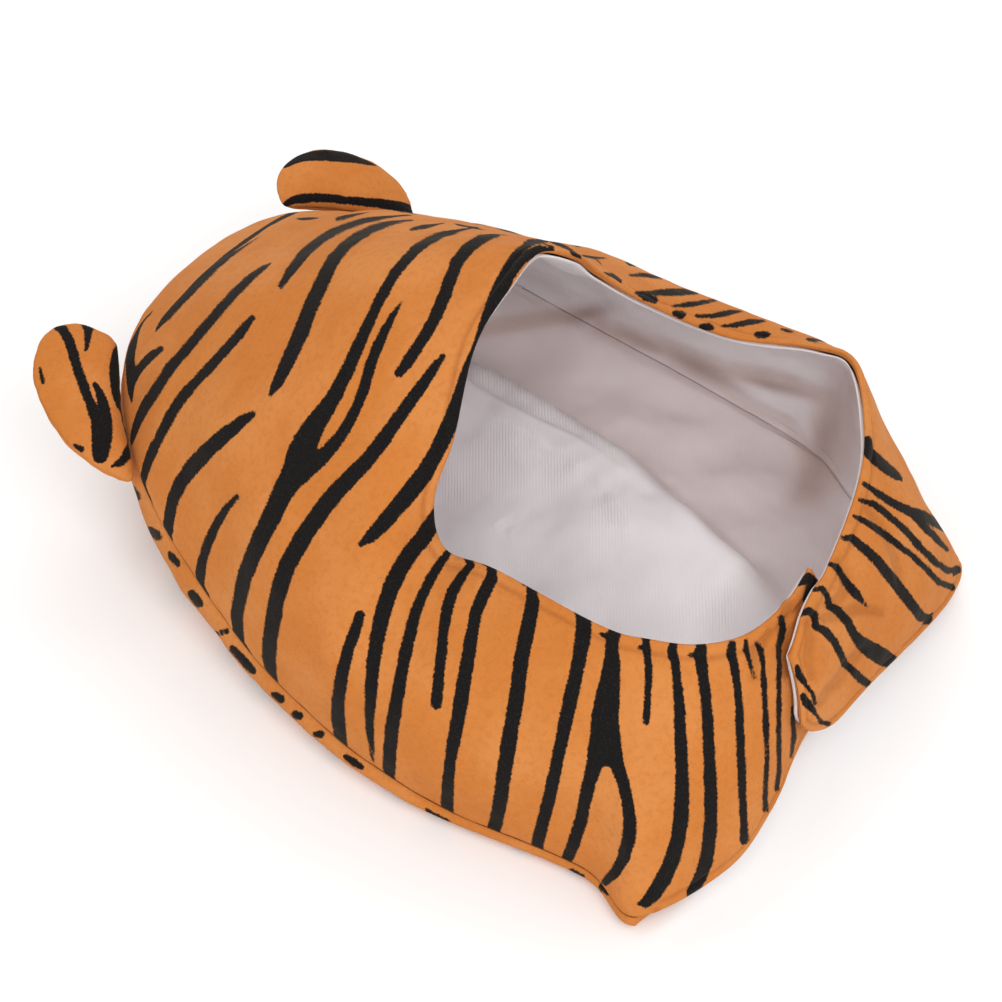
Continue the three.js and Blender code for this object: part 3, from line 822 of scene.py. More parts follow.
def seamShade(fromEdge, onNeck):
    return cloth["seamShadeTone"] * np.exp(-(fromEdge / cloth["seamWide"]) ** 2) * (1 - onNeck)


# Places along the front panel that are as far apart from each other at its rim and edge together
def evenColumns(count, ends):
    fine = np.linspace(0, lastRow, samples["along"])
    rows = curveThrough(sections, fine)
    run = (runAlong(rows[:, :3]) + runAlong(rows[:, 3:6])) / 2
    ends = np.array(ends)
    between = np.linspace(ends[-1], run[-1] - ends[-1], count - 2 * len(ends) + 2)[1:-1]
    places = np.concatenate([ends, between, run[-1] - ends[::-1]])
    return np.interp(places, run, fine), np.minimum(places, run[-1] - places)


# Shares of the way across the front panel, and how far from the rim each lies
def acrossRun(along):
    fine = np.linspace(0, 1, samples["across"])
    return fine, runAlong(frontFace(*np.broadcast_arrays(along[:, None], fine)))


def acrossAt(fromRim, fine, run):
    return np.array([np.interp(places, lengths, fine) for places, lengths in zip(fromRim, run)])


# Places across the front panel, in millimetres from the rim: set steps at both hems and even ones between
def acrossPlaces(along, hems, middle):
    fine, run = acrossRun(along)
    hems = np.array(hems)
    width = run[:, -1:]
    share = np.linspace(0, 1, middle + 2)[1:-1]
    between = hems[-1] + (width - 2 * hems[-1]) * share
    fromRim = np.concatenate([np.broadcast_to(hems, (len(along), len(hems))), between, width - hems[::-1]], 1)
    return acrossAt(fromRim, fine, run), fromRim, width - fromRim


# Every so many inner points of a strip, on their way back
def everyInner(count, step):
    return np.arange(step, count - 1, step)[::-1]


frontLook = {
    "columns": 540,
    "ends": (0.04, 0.35, 0.8, 1.3, 2.2, 3.2, 4.1, 4.6, 5.0, 5.4, 6.0, 7.0),
    "hems": (0, 0.25, 0.6, 1.1, 1.8, 2.6, 3.4, 4.1, 4.6, 5.0, 5.4, 5.9, 6.6, 7.6),
    "middle": 110,
    "innerEvery": 5,
    "cornerFade": 0.3,
    "hem": 5.0,
    "hemRoll": 0.45,
    "grooveWide": 1.0,
    "grooveDeep": 0.45,
    "puckerPitch": 7.0,
    "puckerDeep": 0.28,
    "puckerSeed": 9,
    "puckerMiddle": 5.5,
    "puckerWide": 3.0,
    "foldSize": 46.0,
    "foldDeep": 0.8,
    "rippleSize": 15.0,
    "rippleDeep": 0.14,
    "seeds": (3, 5),
    "calm": (4, 30),           # folds grow between these distances from an edge, all relief within the next
    "flatEdge": 3.0,
    "creaseWide": 1.3,
    "creaseDeep": 1.1,
    "creaseFacing": 0.1,
    "creasesBeyond": (3, 17),  # the charted creases are on the flaps and the far jaw alone
    "crownTo": 13.2,           # how far along the strokes of the near and of the far side reach
    "crownFrom": 12.2,
    "farThinner": 0.15,
    "guessedSteps": 40,
}


def frontPanel(finish):
    look = frontLook
    along, fromEnd = evenColumns(look["columns"], look["ends"])
    across, fromRim, fromEdge = acrossPlaces(along, look["hems"], look["middle"])
    alongGrid, fromEnd = (np.broadcast_to(values[:, None], across.shape) for values in (along, fromEnd))
    onNeck = np.maximum(1 - smooth(alongGrid, rightCorner - look["cornerFade"], rightCorner),
                        smooth(alongGrid, leftCorner, leftCorner + look["cornerFade"]))
    toHem = np.minimum(np.minimum(fromRim, fromEnd), fromEdge + cloth["noHem"] * (1 - onNeck))
    roll, grooveAndShade = hemProfile(toHem, look)
    turned = turnedEdge(np.minimum(fromRim, sewnEdge(fromEdge, onNeck)), cloth["plushWall"] / 2, fromEnd)
    flat, normal = frontPoint(alongGrid, across, np.zeros_like(across))
    flat[..., 2] -= drawnClose(fromEdge, onNeck)
    folds, ripple = clothRelief(flat, look, look["seeds"])
    folds = folds * smooth(np.minimum(fromRim, fromEdge), *look["calm"])
    pucker = look["puckerDeep"] * unevenness(flat, look["puckerPitch"], look["puckerSeed"])
    pucker = pucker * np.exp(-((toHem - look["puckerMiddle"]) / look["puckerWide"]) ** 2)
    relief = (folds + ripple + pucker) * smooth(toHem, 0, look["flatEdge"])
    fromCrease = chartDistance(creases, flat.reshape(-1, 3)).reshape(across.shape)
    creaseAndShade = np.exp(-(np.maximum(fromCrease, 0) / look["creaseWide"]) ** 2)
    lowest, highest = look["creasesBeyond"]
    creased = (alongGrid < lowest) | (alongGrid > highest)
    creaseAndShade = creaseAndShade * creased * (facing(flat, normal) > look["creaseFacing"])
    lift = roll - look["grooveDeep"] * grooveAndShade + relief - turned - look["creaseDeep"] * creaseAndShade
    outer = flat + normal * lift[..., None]
    inner = flat - normal * (cloth["plushWall"] - turned)[..., None]
    kept = everyInner(across.shape[1], look["innerEvery"])
    points, faces = strip(outer, inner, kept)
    # Painted shade in the stitch groove, beside the seam and in the charted creases
    paintedShade = np.maximum(np.maximum(grooveAndShade, seamShade(fromEdge, onNeck)), creaseAndShade)
    tree = sheetTree(outer)
    skin, slopes, place = outer.reshape(-1, 3), normal.reshape(-1, 3), alongGrid.ravel()
    stripe = np.full(len(skin), noStripe)
    for chart, here, thinner in ((nearStripes, place < look["crownTo"], 0),
                                 (farStripes, place > look["crownFrom"], look["farThinner"])):
        landed = landedStrokes(chart, tree, skin)
        drawn = drawnStripes(chart, landed, skin[here], slopes[here])
        stripe[here] = np.minimum(stripe[here], drawn + thinner)
    mirrored = {key: rows for key, rows in nearStripes.items() if "brow" not in key}
    guessed = [(nearestOn(tree, middle * (-1, 1, 1)), radius)
               for middle, radius in landedStrokes(mirrored, tree, skin)]
    for rows in farSideStripes.values():
        rows = curveThrough(np.array(rows, float), np.linspace(0, len(rows) - 1, look["guessedSteps"]))
        guessed.append((frontFace(rows[:, 0], rows[:, 1]), rows[:, 2] / 2))
    unseen = unseenStretches(guessed, [hiddenPoints(tree, middle) for middle, _ in guessed])
    stripe = np.minimum(stripe, distanceTo(unseen, skin)).reshape(across.shape)
    return makePiece("frontPanel", points, faces, finish, "front_panel",
                     {"stripe": stripValues(stripe, kept, noStripe), "grooveAndShade": stripValues(paintedShade, kept)})


backLook = {
    "onSeam": 380,
    "onNeck": 80,
    "start": 0.02,
    "flatRings": 30,
    "wallRings": 60,
    "innerRings": 14,
    "cornerFade": 0.006,
    "foldSize": 40.0,
    "foldDeep": 0.7,
    "rippleSize": 14.0,
    "rippleDeep": 0.14,
    "seeds": (21, 22),
    "calm": (3, 20),
    "flatEdge": 4.0,
    "standing": (2, 14),       # heights between which the relief grows, because the underside lies flat
    "hem": 5.0,
    "hemRoll": 0.3,
    "grooveWide": 0.9,
    "grooveDeep": 0.45,
}


# Turns round the back panel: even along the seam, and closer together at both ends of the neck edge
def backTurns(onSeam, onNeck):
    seam = backShape["seamShare"]
    waves = np.linspace(0, math.pi, onNeck + 1)[1:-1]
    return np.concatenate([np.linspace(0, seam, onSeam + 1), seam + (1 - seam) * (1 - np.cos(waves)) / 2])


# Shares of the way from the back panel's middle out: even where it is flat, closer together up the wall
def backReach(first, last, flatRings, wallRings):
    flat = backShape["flatShare"]
    up = np.sin(np.linspace(0, 1, wallRings + 1)[1:] * math.pi / 2)
    return np.concatenate([np.linspace(first, flat, flatRings), flat + (last - flat) * up])


# How far each ring's points lie from the first ring's and from the last one's, along the surface
def ringDistances(flat):
    fromFirst = runAlong(np.swapaxes(flat, 0, 1)).T
    return fromFirst, fromFirst[-1] - fromFirst


def innerRings(rings, count):
    return np.unique(np.linspace(1, rings - 2, count).astype(int))[::-1]


# Marks of the plush underneath, in the cloth laid flat: each starts near the middle line, waves outward and
# ends at the reach, or sooner in one row of three. All in millimetres.
backUnder = {
    "seed": 12,
    "from": -190,
    "to": 260,
    "pitch": 15.0,
    "reach": 190,
    "near": (2, 14),
    "away": (18, 80),
    "short": (45, 90),
    "steps": 50,
    "wave": 5.6,
    "waveLength": 42,
    "slant": 0.28,
    "shift": 3,
    "width": 5.4,
    "widths": (0.75, 1.15),
    "taper": (3.2, 0.05, 1.04),
}


def flatStrokes():
    look = backUnder
    chance = np.random.default_rng(look["seed"])
    strokes = []
    share = np.linspace(0, 1, look["steps"])
    sharp, first, last = look["taper"]
    for side in (-1, 1):
        for k, y in enumerate(np.arange(look["from"], look["to"], look["pitch"])):
            start = chance.uniform(*look["near"]) if k % 3 == 0 else chance.uniform(*look["away"])
            stop = look["reach"] if k % 3 != 1 else start + chance.uniform(*look["short"])
            reach = np.linspace(start, stop, look["steps"])
            bend = look["wave"] * np.sin(reach / look["waveLength"] + chance.uniform(0, 6))
            bend = bend + look["slant"] * reach + chance.uniform(-look["shift"], look["shift"])
            middle = np.stack([side * reach, y + bend, np.zeros(look["steps"])], -1)
            width = look["width"] * np.minimum(1, sharp * np.minimum(share + first, last - share))
            strokes.append((middle, width * chance.uniform(*look["widths"]) / 2))
    return strokes


def backPanel(finish):
    look = backLook
    turns = backTurns(look["onSeam"], look["onNeck"])
    reach = backReach(look["start"], 1, look["flatRings"], look["wallRings"])
    turnGrid, reachGrid = np.meshgrid(turns, reach)
    flat, normal = backPoint(turnGrid, reachGrid, np.zeros_like(turnGrid))
    middle = np.array(backShape["middle"], float)
    fromFirst, fromEdge = ringDistances(flat)
    seam, fade = backShape["seamShare"], look["cornerFade"]
    onNeck = smooth(turnGrid, seam, seam + fade) * (1 - smooth(turnGrid, 1 - fade, 1))
    roll, grooveAndShade = hemProfile(fromEdge + cloth["noHem"] * (1 - onNeck), look)
    turned = turnedEdge(sewnEdge(fromEdge, onNeck), cloth["plushWall"] / 2)
    flat[..., 2] += drawnClose(fromEdge, onNeck)
    standing = smooth(flat[..., 2], *look["standing"])
    folds, ripple = clothRelief(flat, look, look["seeds"])
    relief = (folds * smooth(fromEdge, *look["calm"]) + ripple) * smooth(fromEdge, 0, look["flatEdge"])
    lift = (roll - look["grooveDeep"] * grooveAndShade + relief) * standing - turned
    outer = flat + normal * lift[..., None]
    outer[..., 2] = np.maximum(outer[..., 2], 0)
    under = innerRings(len(reach), look["innerRings"])
    inner = backPoint(turnGrid[under], reachGrid[under], (cloth["plushWall"] - turned)[under])[0]
    points, faces = dish(middle, outer, inner, middle + (0, 0, cloth["plushWall"]))
    tree = sheetTree(outer, closed=True)
    skin, slopes = outer.reshape(-1, 3), normal.reshape(-1, 3)
    laid = (middle + unit(flat - middle) * fromFirst[..., None]).reshape(-1, 3) * (1, 1, 0)
    marks = flatStrokes()
    turnedAway = facing(skin, slopes) < 0
    hiddenParts = [turnedAway[[int(np.argmin(np.sum((laid - spot) ** 2, 1))) for spot in line]]
                   for line, _ in marks]
    unseen = unseenStretches(marks, hiddenParts)
    drawn = drawnStripes(backStripes, landedStrokes(backStripes, tree, skin), skin, slopes)
    stripe = np.minimum(drawn, distanceTo(unseen, laid))
    # Painted shade in the stitch groove and beside the seam
    paintedShade = np.maximum(grooveAndShade, seamShade(fromEdge, onNeck))
    return makePiece("backPanel", points, faces, finish, "back_panel",
                     {"stripe": dishValues(stripe, inner, noStripe), "grooveAndShade": dishValues(paintedShade, inner)})


# Both linings: their folds and ripples, and where the camera sees the charted folds on them
liningLook = {
    "foldSize": 32.0,
    "foldDeep": 0.9,
    "rippleSize": 12.0,
    "rippleDeep": 0.18,
    "foldsFrom": (-0.2, 0.02),
}
frontLiningLook = {
    "columns": 420,
    "ends": (0.5, 0.9, 1.5, 2.4),
    "rows": 60,
    "crowding": 0.4,           # share of the even steps across that gives way to closer ones at both edges
    "outerEvery": 6,
    "rimFrom": 0.9,
    "edgeFrom": 0.6,
    "endFrom": 0.48,
    "seeds": (31, 33),
    "calm": (3, 26),
    "tuck": 0.62,              # how far it rises into the hem, and how far it sinks where both linings meet
    "tuckTo": (0.5, 7),
    "meet": 0.62,
    "meetTo": (0.5, 4),
    "farSide": (9.5, 10.5),
    "foldsClear": (3, 12),
}
backLiningLook = {
    "onSeam": 340,
    "onNeck": 60,
    "start": 0.015,
    "end": 0.994,
    "flatRings": 80,
    "wallRings": 43,
    "underRings": 40,
    "seeds": (41, 43),
    "calm": (0.75, 0.97),
    "standingTo": 0.9,
    "under": 3.0,              # its edge laps over the front lining's and dives under it
    "underTo": 5,
    "over": 0.3,
    "overTo": (3, 8),
    "dive": 1.9,
    "diveTo": 2,
    "farFrom": (0, 20),
    "warmShadeFrom": (2, 12),
}


# Folds of the lining inside the far side: each rises above a line of the photograph's pixels, with painted
# shade just below it
liningFolds = {
    "under the rim": {
        "line": [(480, 326), (510, 321), (545, 315), (572, 309), (592, 311), (606, 324), (640, 338),
            (670, 346), (700, 358), (725, 367), (760, 373), (790, 380), (815, 392), (840, 402)],
        "height": 5.5, "crisp": 9, "wide": 46, "shade": 8, "paintedShade": 0.8, "from": (470, 480), "to": (815, 850)},
    "under the fold": {
        "line": [(665, 356), (690, 368), (720, 383), (750, 404), (770, 413), (790, 422), (803, 445),
            (812, 470)],
        "height": 2.6, "crisp": 8, "wide": 26, "shade": 7, "paintedShade": 0.5, "from": (660, 700), "to": (806, 816)},
    "by the far jaw": {
        "line": [(800, 480), (818, 462), (832, 430), (840, 400), (846, 375)],
        "height": 0.8, "crisp": 16, "wide": 40, "shade": 22, "paintedShade": 0.7, "from": (790, 812),
        "to": (870, 880)},
}
# Painted warm shade, as of light bounced off the orange plush: its share on the front lining and on the back
# lining beyond its ridge, and how much of a fold's painted shade goes into the deep painted shade
liningShade = {"front": 0.05, "beyond": 0.4, "fold": 0.45}

# Hollows in deep shade: middle, half length and half width in pixels, turn down to the right in degrees,
# and share
liningHollows = {
    "under the brow": (586, 314, 26, 8, -14, 0.85),
    "below the brow": (642, 342, 36, 7, 24, 0.65),
    "wedge": (700, 368, 42, 12, 27, 0.8),
    "upper crease": (775, 386, 48, 6, 14, 0.75),
    "by the far jaw": (824, 438, 56, 18, 104, 0.8),
    "low by the far jaw": (800, 492, 28, 13, 120, 0.4),
}


# How deep in the shade of a charted hollow a point lies, from 0 to 1
def hollowAt(points):
    deep = np.zeros(points.shape[:-1])
    pixels = pixelOf(points)
    for x, y, long, wide, turned, share in liningHollows.values():
        right, down = pixels[..., 0] - x, pixels[..., 1] - y
        cosine, sine = math.cos(math.radians(turned)), math.sin(math.radians(turned))
        lengthways = (right * cosine + down * sine) / long
        across = (down * cosine - right * sine) / wide
        deep = np.maximum(deep, share * np.exp(-lengthways ** 2 - across ** 2))
    return deep


# The loose lining bridges the seam's valley: on both sides of the seam it leaves its wall by a parabola.
# Gives how far it stands off at the seam itself, from points of both linings that lie a bridge's half away.
bridge = {"half": 17.0, "columns": 160, "steps": 60, "frontTo": 0.2, "backTo": 0.01, "ends": 1.2}


def seamBridge():
    along = np.linspace(rightCorner, leftCorner, bridge["columns"])
    turns = (along - rightCorner) / (leftCorner - rightCorner) * backShape["seamShare"]
    acrossFront = np.linspace(1, bridge["frontTo"], bridge["steps"])
    backEnd = backShape["flatShare"] + bridge["backTo"]
    upBack = np.linspace(backLiningLook["end"], backEnd, bridge["steps"])
    total = 0
    for pointAt, places, reach in ((frontPoint, along, acrossFront), (backPoint, turns, upBack)):
        placeGrid, reachGrid = np.meshgrid(places, reach, indexing="ij")
        wall, _ = pointAt(placeGrid, reachGrid, np.full(placeGrid.shape, liningInside))
        nearest = np.argmin(np.abs(runAlong(wall) - bridge["half"]), axis=1)
        total = total + wall[np.arange(len(wall)), nearest] - wall[:, 0]
    fade = bridge["ends"]
    ends = smooth(along, rightCorner, rightCorner + fade) * (1 - smooth(along, leftCorner - fade, leftCorner))
    return along, total / 4 * ends[:, None]


def bridged(along, fromEdge):
    places, stand = seamBridge()
    near = (1 - np.clip(fromEdge / bridge["half"], 0, 1)) ** 2
    return np.stack([np.interp(along, places, stand[:, k]) for k in range(3)], -1) * near[..., None]


# How far the charted folds rise toward the camera at a point, and how much painted shade lies just below each
# fold's line
def foldsAt(points):
    height = np.zeros(points.shape[:-1])
    paintedShade = np.zeros(points.shape[:-1])
    column = pixelOf(points)[..., 0]
    for fold in liningFolds.values():
        above = aboveLine(fold["line"], points)
        run = smooth(column, *fold["from"]) * (1 - smooth(column, *fold["to"]))
        roll = smooth(above, 0, fold["crisp"]) * (1 - smooth(above, fold["crisp"], fold["wide"]))
        height += fold["height"] * roll * run
        paintedShade += fold["paintedShade"] * np.exp(-((above + fold["shade"] / 2) / fold["shade"]) ** 2) * run
    return height, paintedShade


# A lining with its charted folds raised where they are shown, and its painted shade: a warm one, as of light
# bounced off the orange plush, and a deep one in its hollows
def folded(points, shown, rising, baseWarmShade):
    height, paintedShade = foldsAt(points)
    raised = points + unit(cameraSpot * 1000 - points) * (height * shown * rising)[..., None]
    warmShade = np.clip(baseWarmShade + paintedShade * shown, 0, 1)
    hollow = np.clip(np.maximum(hollowAt(raised), paintedShade * liningShade["fold"]) * shown, 0, 1)
    return raised, warmShade, hollow


# Soft folds of a loose lining, which only stand inward
def looseFolds(points, seeds):
    folds, ripple = clothRelief(points, liningLook, seeds)
    return folds + ripple + liningLook["foldDeep"] + liningLook["rippleDeep"]


def frontLining(finish):
    look = frontLiningLook
    along, fromEnd = evenColumns(look["columns"], look["ends"])
    fine, run = acrossRun(along)
    width = run[:, -1:]
    even = np.linspace(0, 1, look["rows"])
    share = np.sin(even * math.pi / 2) ** 2 * look["crowding"] + even * (1 - look["crowding"])
    fromRim = look["rimFrom"] + (width - look["rimFrom"] - look["edgeFrom"]) * share
    across = acrossAt(fromRim, fine, run)
    fromEdge = width - fromRim
    alongGrid, fromEnd = (np.broadcast_to(values[:, None], across.shape) for values in (along, fromEnd))
    tucked = look["tuck"] * (1 - smooth(fromRim, *look["tuckTo"]))
    turned = turnedEdge(fromRim - look["rimFrom"], cloth["liningWall"] / 2, fromEnd - look["endFrom"])
    flat, normal = frontPoint(alongGrid, across, np.zeros_like(across))
    calm = smooth(np.minimum(fromRim, np.minimum(fromEdge, fromEnd)), *look["calm"])
    folds = looseFolds(flat, look["seeds"]) * calm
    flat[..., 2] -= look["meet"] * (1 - smooth(fromEdge, *look["meetTo"]))
    top = flat - normal * (liningDepth - tucked + turned)[..., None]
    low = flat - normal * (liningInside - tucked - turned + folds)[..., None]
    low += bridged(alongGrid, fromEdge)
    shown = smooth(alongGrid, *look["farSide"]) * smooth(facing(low, -normal), *liningLook["foldsFrom"])
    low, warmShade, hollow = folded(low, shown, smooth(fromRim, *look["foldsClear"]), liningShade["front"])
    kept = everyInner(across.shape[1], look["outerEvery"])
    points, faces = strip(low, top, kept)
    return makePiece("frontLining", points, faces, finish, "front_lining",
                     {"rib": np.zeros(len(points)), "warmShade": stripValues(warmShade, kept),
                      "hollow": stripValues(hollow, kept)})


ridge = {
    "height": 27,
    "line": [(20, -122), (24, -92), (38, -45), (50, 0), (55, 45), (57, 90)],
    "linePoints": 61,
    "nearSpread": 95,
    "farSpread": 28,
    "fromNeck": (-118, -80),
    "toCrown": (60, 125),
}


# Height of the lining's loose ridge: a gentle half wave up from the near side and a steep one down
def ridgeHeight(points):
    line = np.array(ridge["line"], float)
    places = curveThrough(line, np.linspace(0, len(line) - 1, ridge["linePoints"]))
    y = np.clip(points[..., 1], places[0, 1], places[-1, 1])
    beyond = points[..., 0] - np.interp(y, places[:, 1], places[:, 0])
    spread = np.where(beyond < 0, ridge["nearSpread"], ridge["farSpread"])
    across = 0.5 + 0.5 * np.cos(math.pi * np.minimum(1, np.abs(beyond) / spread))
    along = smooth(points[..., 1], *ridge["fromNeck"]) * (1 - smooth(points[..., 1], *ridge["toCrown"]))
    return ridge["height"] * across * along, beyond


# A roll of the loose lining beside its ridge, in the photograph's pixels, and where its knit shows
ridgeRolls = {
    "bandTop": [(455, 370), (480, 387), (500, 399), (540, 419), (580, 437), (600, 449), (640, 477),
        (680, 512), (720, 552), (750, 590), (765, 615)],
    "bandFoot": [(445, 410), (480, 425), (510, 437), (540, 455), (560, 466), (580, 478), (600, 497),
        (618, 525)],
    "bandTopSoft": (-6, 2),
    "bandFootSoft": (0, 12),
    "bandStarts": (425, 450),
    "bandEnds": (560, 660),
    "bandHeight": 2.2,
    "bandBeyond": 12,
    "knit": [(505, 450, 34), (560, 468, 22), (455, 490, 18), (612, 512, 20), (715, 610, 26)],
    "knitShare": 0.8,
    "knitTopSoft": (-3, 3),
    "knitBeyond": 10,
}


def backLining(finish):
    look, rolls = backLiningLook, ridgeRolls
    turns = backTurns(look["onSeam"], look["onNeck"])
    reach = backReach(look["start"], look["end"], look["flatRings"], look["wallRings"])
    turnGrid, reachGrid = np.meshgrid(turns, reach)
    flat, normal = backPoint(turnGrid, reachGrid, np.full(turnGrid.shape, liningInside))
    rise, beyond = ridgeHeight(flat)
    standing = 1 - smooth(reachGrid, backShape["flatShare"], look["standingTo"])
    folds = looseFolds(flat, look["seeds"]) * (1 - smooth(reachGrid, *look["calm"]))
    fromSeam = ringDistances(flat)[1]
    top = flat - normal * folds[..., None] + bridged(alongSeam(turnGrid), fromSeam)
    top[..., 2] += rise * standing
    column = pixelOf(top)[..., 0]
    shown = smooth(column, *rolls["bandStarts"])
    ends = 1 - smooth(column, *rolls["bandEnds"])
    bandTop, bandFoot = aboveLine(rolls["bandTop"], top), aboveLine(rolls["bandFoot"], top)
    band = (1 - smooth(bandTop, *rolls["bandTopSoft"])) * smooth(bandFoot, *rolls["bandFootSoft"]) * ends
    top[..., 2] += rolls["bandHeight"] * band * shown * (beyond < rolls["bandBeyond"]) * standing
    sewn = turnGrid < backShape["seamShare"]
    top[..., 2] += look["under"] * (1 - smooth(fromSeam, 0, look["underTo"])) * sewn
    dive = look["dive"] * (1 - smooth(fromSeam, 0, look["diveTo"]))
    dive -= look["over"] * (1 - smooth(fromSeam, *look["overTo"]))
    top += normal * (dive * sewn)[..., None]
    far = smooth(facing(top, -normal), *liningLook["foldsFrom"]) * smooth(beyond, *look["farFrom"])
    # Beyond its ridge the back lining gets painted warm shade
    top, warmShade, hollow = folded(top, far, 1, liningShade["beyond"] * smooth(beyond, *look["warmShadeFrom"]))
    under = innerRings(len(reach), look["underRings"])
    low, _ = backPoint(turnGrid[under], reachGrid[under], np.full((len(under), len(turns)), liningDepth))
    low[..., 2] += ridgeHeight(low)[0] * standing[under]
    centre = np.array(backShape["middle"], float)
    upper, lower = (centre + (0, 0, ridgeHeight(centre)[0] + depth)
                    for depth in (liningInside + liningLook["foldDeep"], liningDepth))
    points, faces = dish(upper, top, low, lower)
    rib = smooth(bandTop, *rolls["knitTopSoft"]) * ends
    for x, y, wide in rolls["knit"]:
        spot = np.exp(-np.sum(((pixelOf(top) - (x, y)) / wide) ** 2, -1))
        rib = np.maximum(rib, rolls["knitShare"] * spot)
    rib = rib * shown * (beyond < rolls["knitBeyond"])
    return makePiece("backLining", points, faces, finish, "back_lining",
                     {"rib": dishValues(rib, low), "warmShade": dishValues(warmShade, low),
                      "hollow": dishValues(hollow, low)})


fastenerLook = {
    "fromRow": 0.25,
    "toRow": 0.75,
    "fromRim": 0.25,
    "toRim": 0.72,
    "gap": 0.5,
    "thickness": 1.6,
    "columns": 60,
    "rows": 90,
    "innerEvery": 10,
    "long": 16,
    "wide": 26,
    "edgeTurn": 0.5,
    "edgeWide": 1.2,
}


def chinFastener(finish):
    look = fastenerLook
    i, j = np.meshgrid(np.linspace(0, 1, look["columns"]), np.linspace(0, 1, look["rows"]), indexing="ij")
    along = look["fromRow"] + (look["toRow"] - look["fromRow"]) * i
    across = look["fromRim"] + (look["toRim"] - look["fromRim"]) * j
    fromEdge = np.minimum(np.minimum(i, 1 - i) * look["long"], np.minimum(j, 1 - j) * look["wide"])
    turned = look["edgeTurn"] * (1 - smooth(fromEdge, 0, look["edgeWide"]))
    top, _ = frontPoint(along, across, turned - look["gap"] - look["thickness"])
    low, _ = frontPoint(along, across, np.full(along.shape, -look["gap"]))
    kept = everyInner(look["rows"], look["innerEvery"])
    grid = np.concatenate([top, low[:, -1:], low[:, kept], low[:, :1]], 1)
    columns, rows = grid.shape[:2]
    count = look["rows"]
    between = [(int(row), count + 1 + k) for k, row in enumerate(kept)][::-1]
    faces = loopFaces(columns, rows, [(0, rows - 1), *between, (count - 1, count)])
    return makePiece("chinFastener", grid.reshape(-1, 3), faces, finish, "chin_fastener")


earLook = {
    "turns": 96,
    "rings": 21,
    "alongStep": 0.01,
    "widest": 0.4,
    "seamGap": 0.8,
    "baseSquareness": 5.0,
    "dome": (2.4, 0.6),
    "borderPoints": 241,
    "footPoints": 81,
    "foot": (0.53, 0.97),
    "sewnWithin": 3.0,
    "shrunk": 0.8,             # thickness before the stuffing swells it
    "voxel": 1.8,
    "pressure": 4.0,
    "frames": 20,
    "mostMove": 3.0,
    "finer": 2,
    "grooveWide": 0.8,
    "grooveDeep": 0.8,
    "relief": ((0.12, 9, 61), (0.2, 24, 62)),
}
ears = {
    "rightEar": {"node": "right_ear", "along": 10.47, "width": 68, "height": 39, "thickness": 18,
                 "lift": 0.35, "lean": 0.0, "stripes": rightEarStripes},
    "leftEar": {"node": "left_ear", "along": 13.42, "width": 64, "height": 36, "thickness": 18,
                "lift": 0.4, "lean": 0.34, "stripes": leftEarStripes},
}


# Places on an ear: an outline round on top and squarer at its base, that follows the seam, between two domes
def earPoints(ear, turns, ring, side):
    fine = np.linspace(0, lastRow, samples["seam"])
    run = runAlong(seamPoint(fine))
    start = np.interp(ear["along"], fine, run)
    root, beside = seamPoint(ear["along"] + np.array([0, earLook["alongStep"]]))
    lengthways = unit(beside - root)
    level = outward(root)
    up = np.array([0, 0, 1])
    stand = level * math.sqrt(1 - ear["lift"] ** 2) + up * ear["lift"]
    normal = up * math.sqrt(1 - ear["lift"] ** 2) - level * ear["lift"]
    waist = earLook["widest"] * ear["height"]
    cosine, sine = np.cos(2 * math.pi * turns), np.sin(2 * math.pi * turns)
    power = np.where(sine > 0, 1, 2 / earLook["baseSquareness"])
    reach = np.where(sine > 0, ear["height"] - waist, waist)
    wide = ear["width"] / 2 * np.sign(cosine) * np.abs(cosine) ** power * ring
    tall = waist + reach * np.sign(sine) * np.abs(sine) ** power * ring
    inside, outside = earLook["dome"]
    dome = ear["thickness"] / 2 * (1 - ring ** inside) ** outside * side
    foot = seamPoint(np.interp(start + wide, run, fine))
    rise = stand * (tall + earLook["seamGap"])[..., None] + lengthways * (ear["lean"] * tall)[..., None]
    return foot + rise + normal * dome[..., None], normal


# The mesh as its modifiers leave it
def finishedMesh(piece):
    evaluated = piece.evaluated_get(bpy.context.evaluated_depsgraph_get())
    return bpy.data.meshes.new_from_object(evaluated)


# Each vertex's place, "co", or its "normal"
def vertexRows(mesh, key):
    values = np.empty(len(mesh.vertices) * 3)
    mesh.vertices.foreach_get(key, values)
    return values.reshape(-1, 3)


# Each face's vertices
def meshFaces(mesh):
    corners = np.empty(len(mesh.loops), int)
    mesh.loops.foreach_get("vertex_index", corners)
    starts = np.empty(len(mesh.polygons), int)
    mesh.polygons.foreach_get("loop_start", starts)
    return [part.tolist() for part in np.split(corners, starts[1:])]


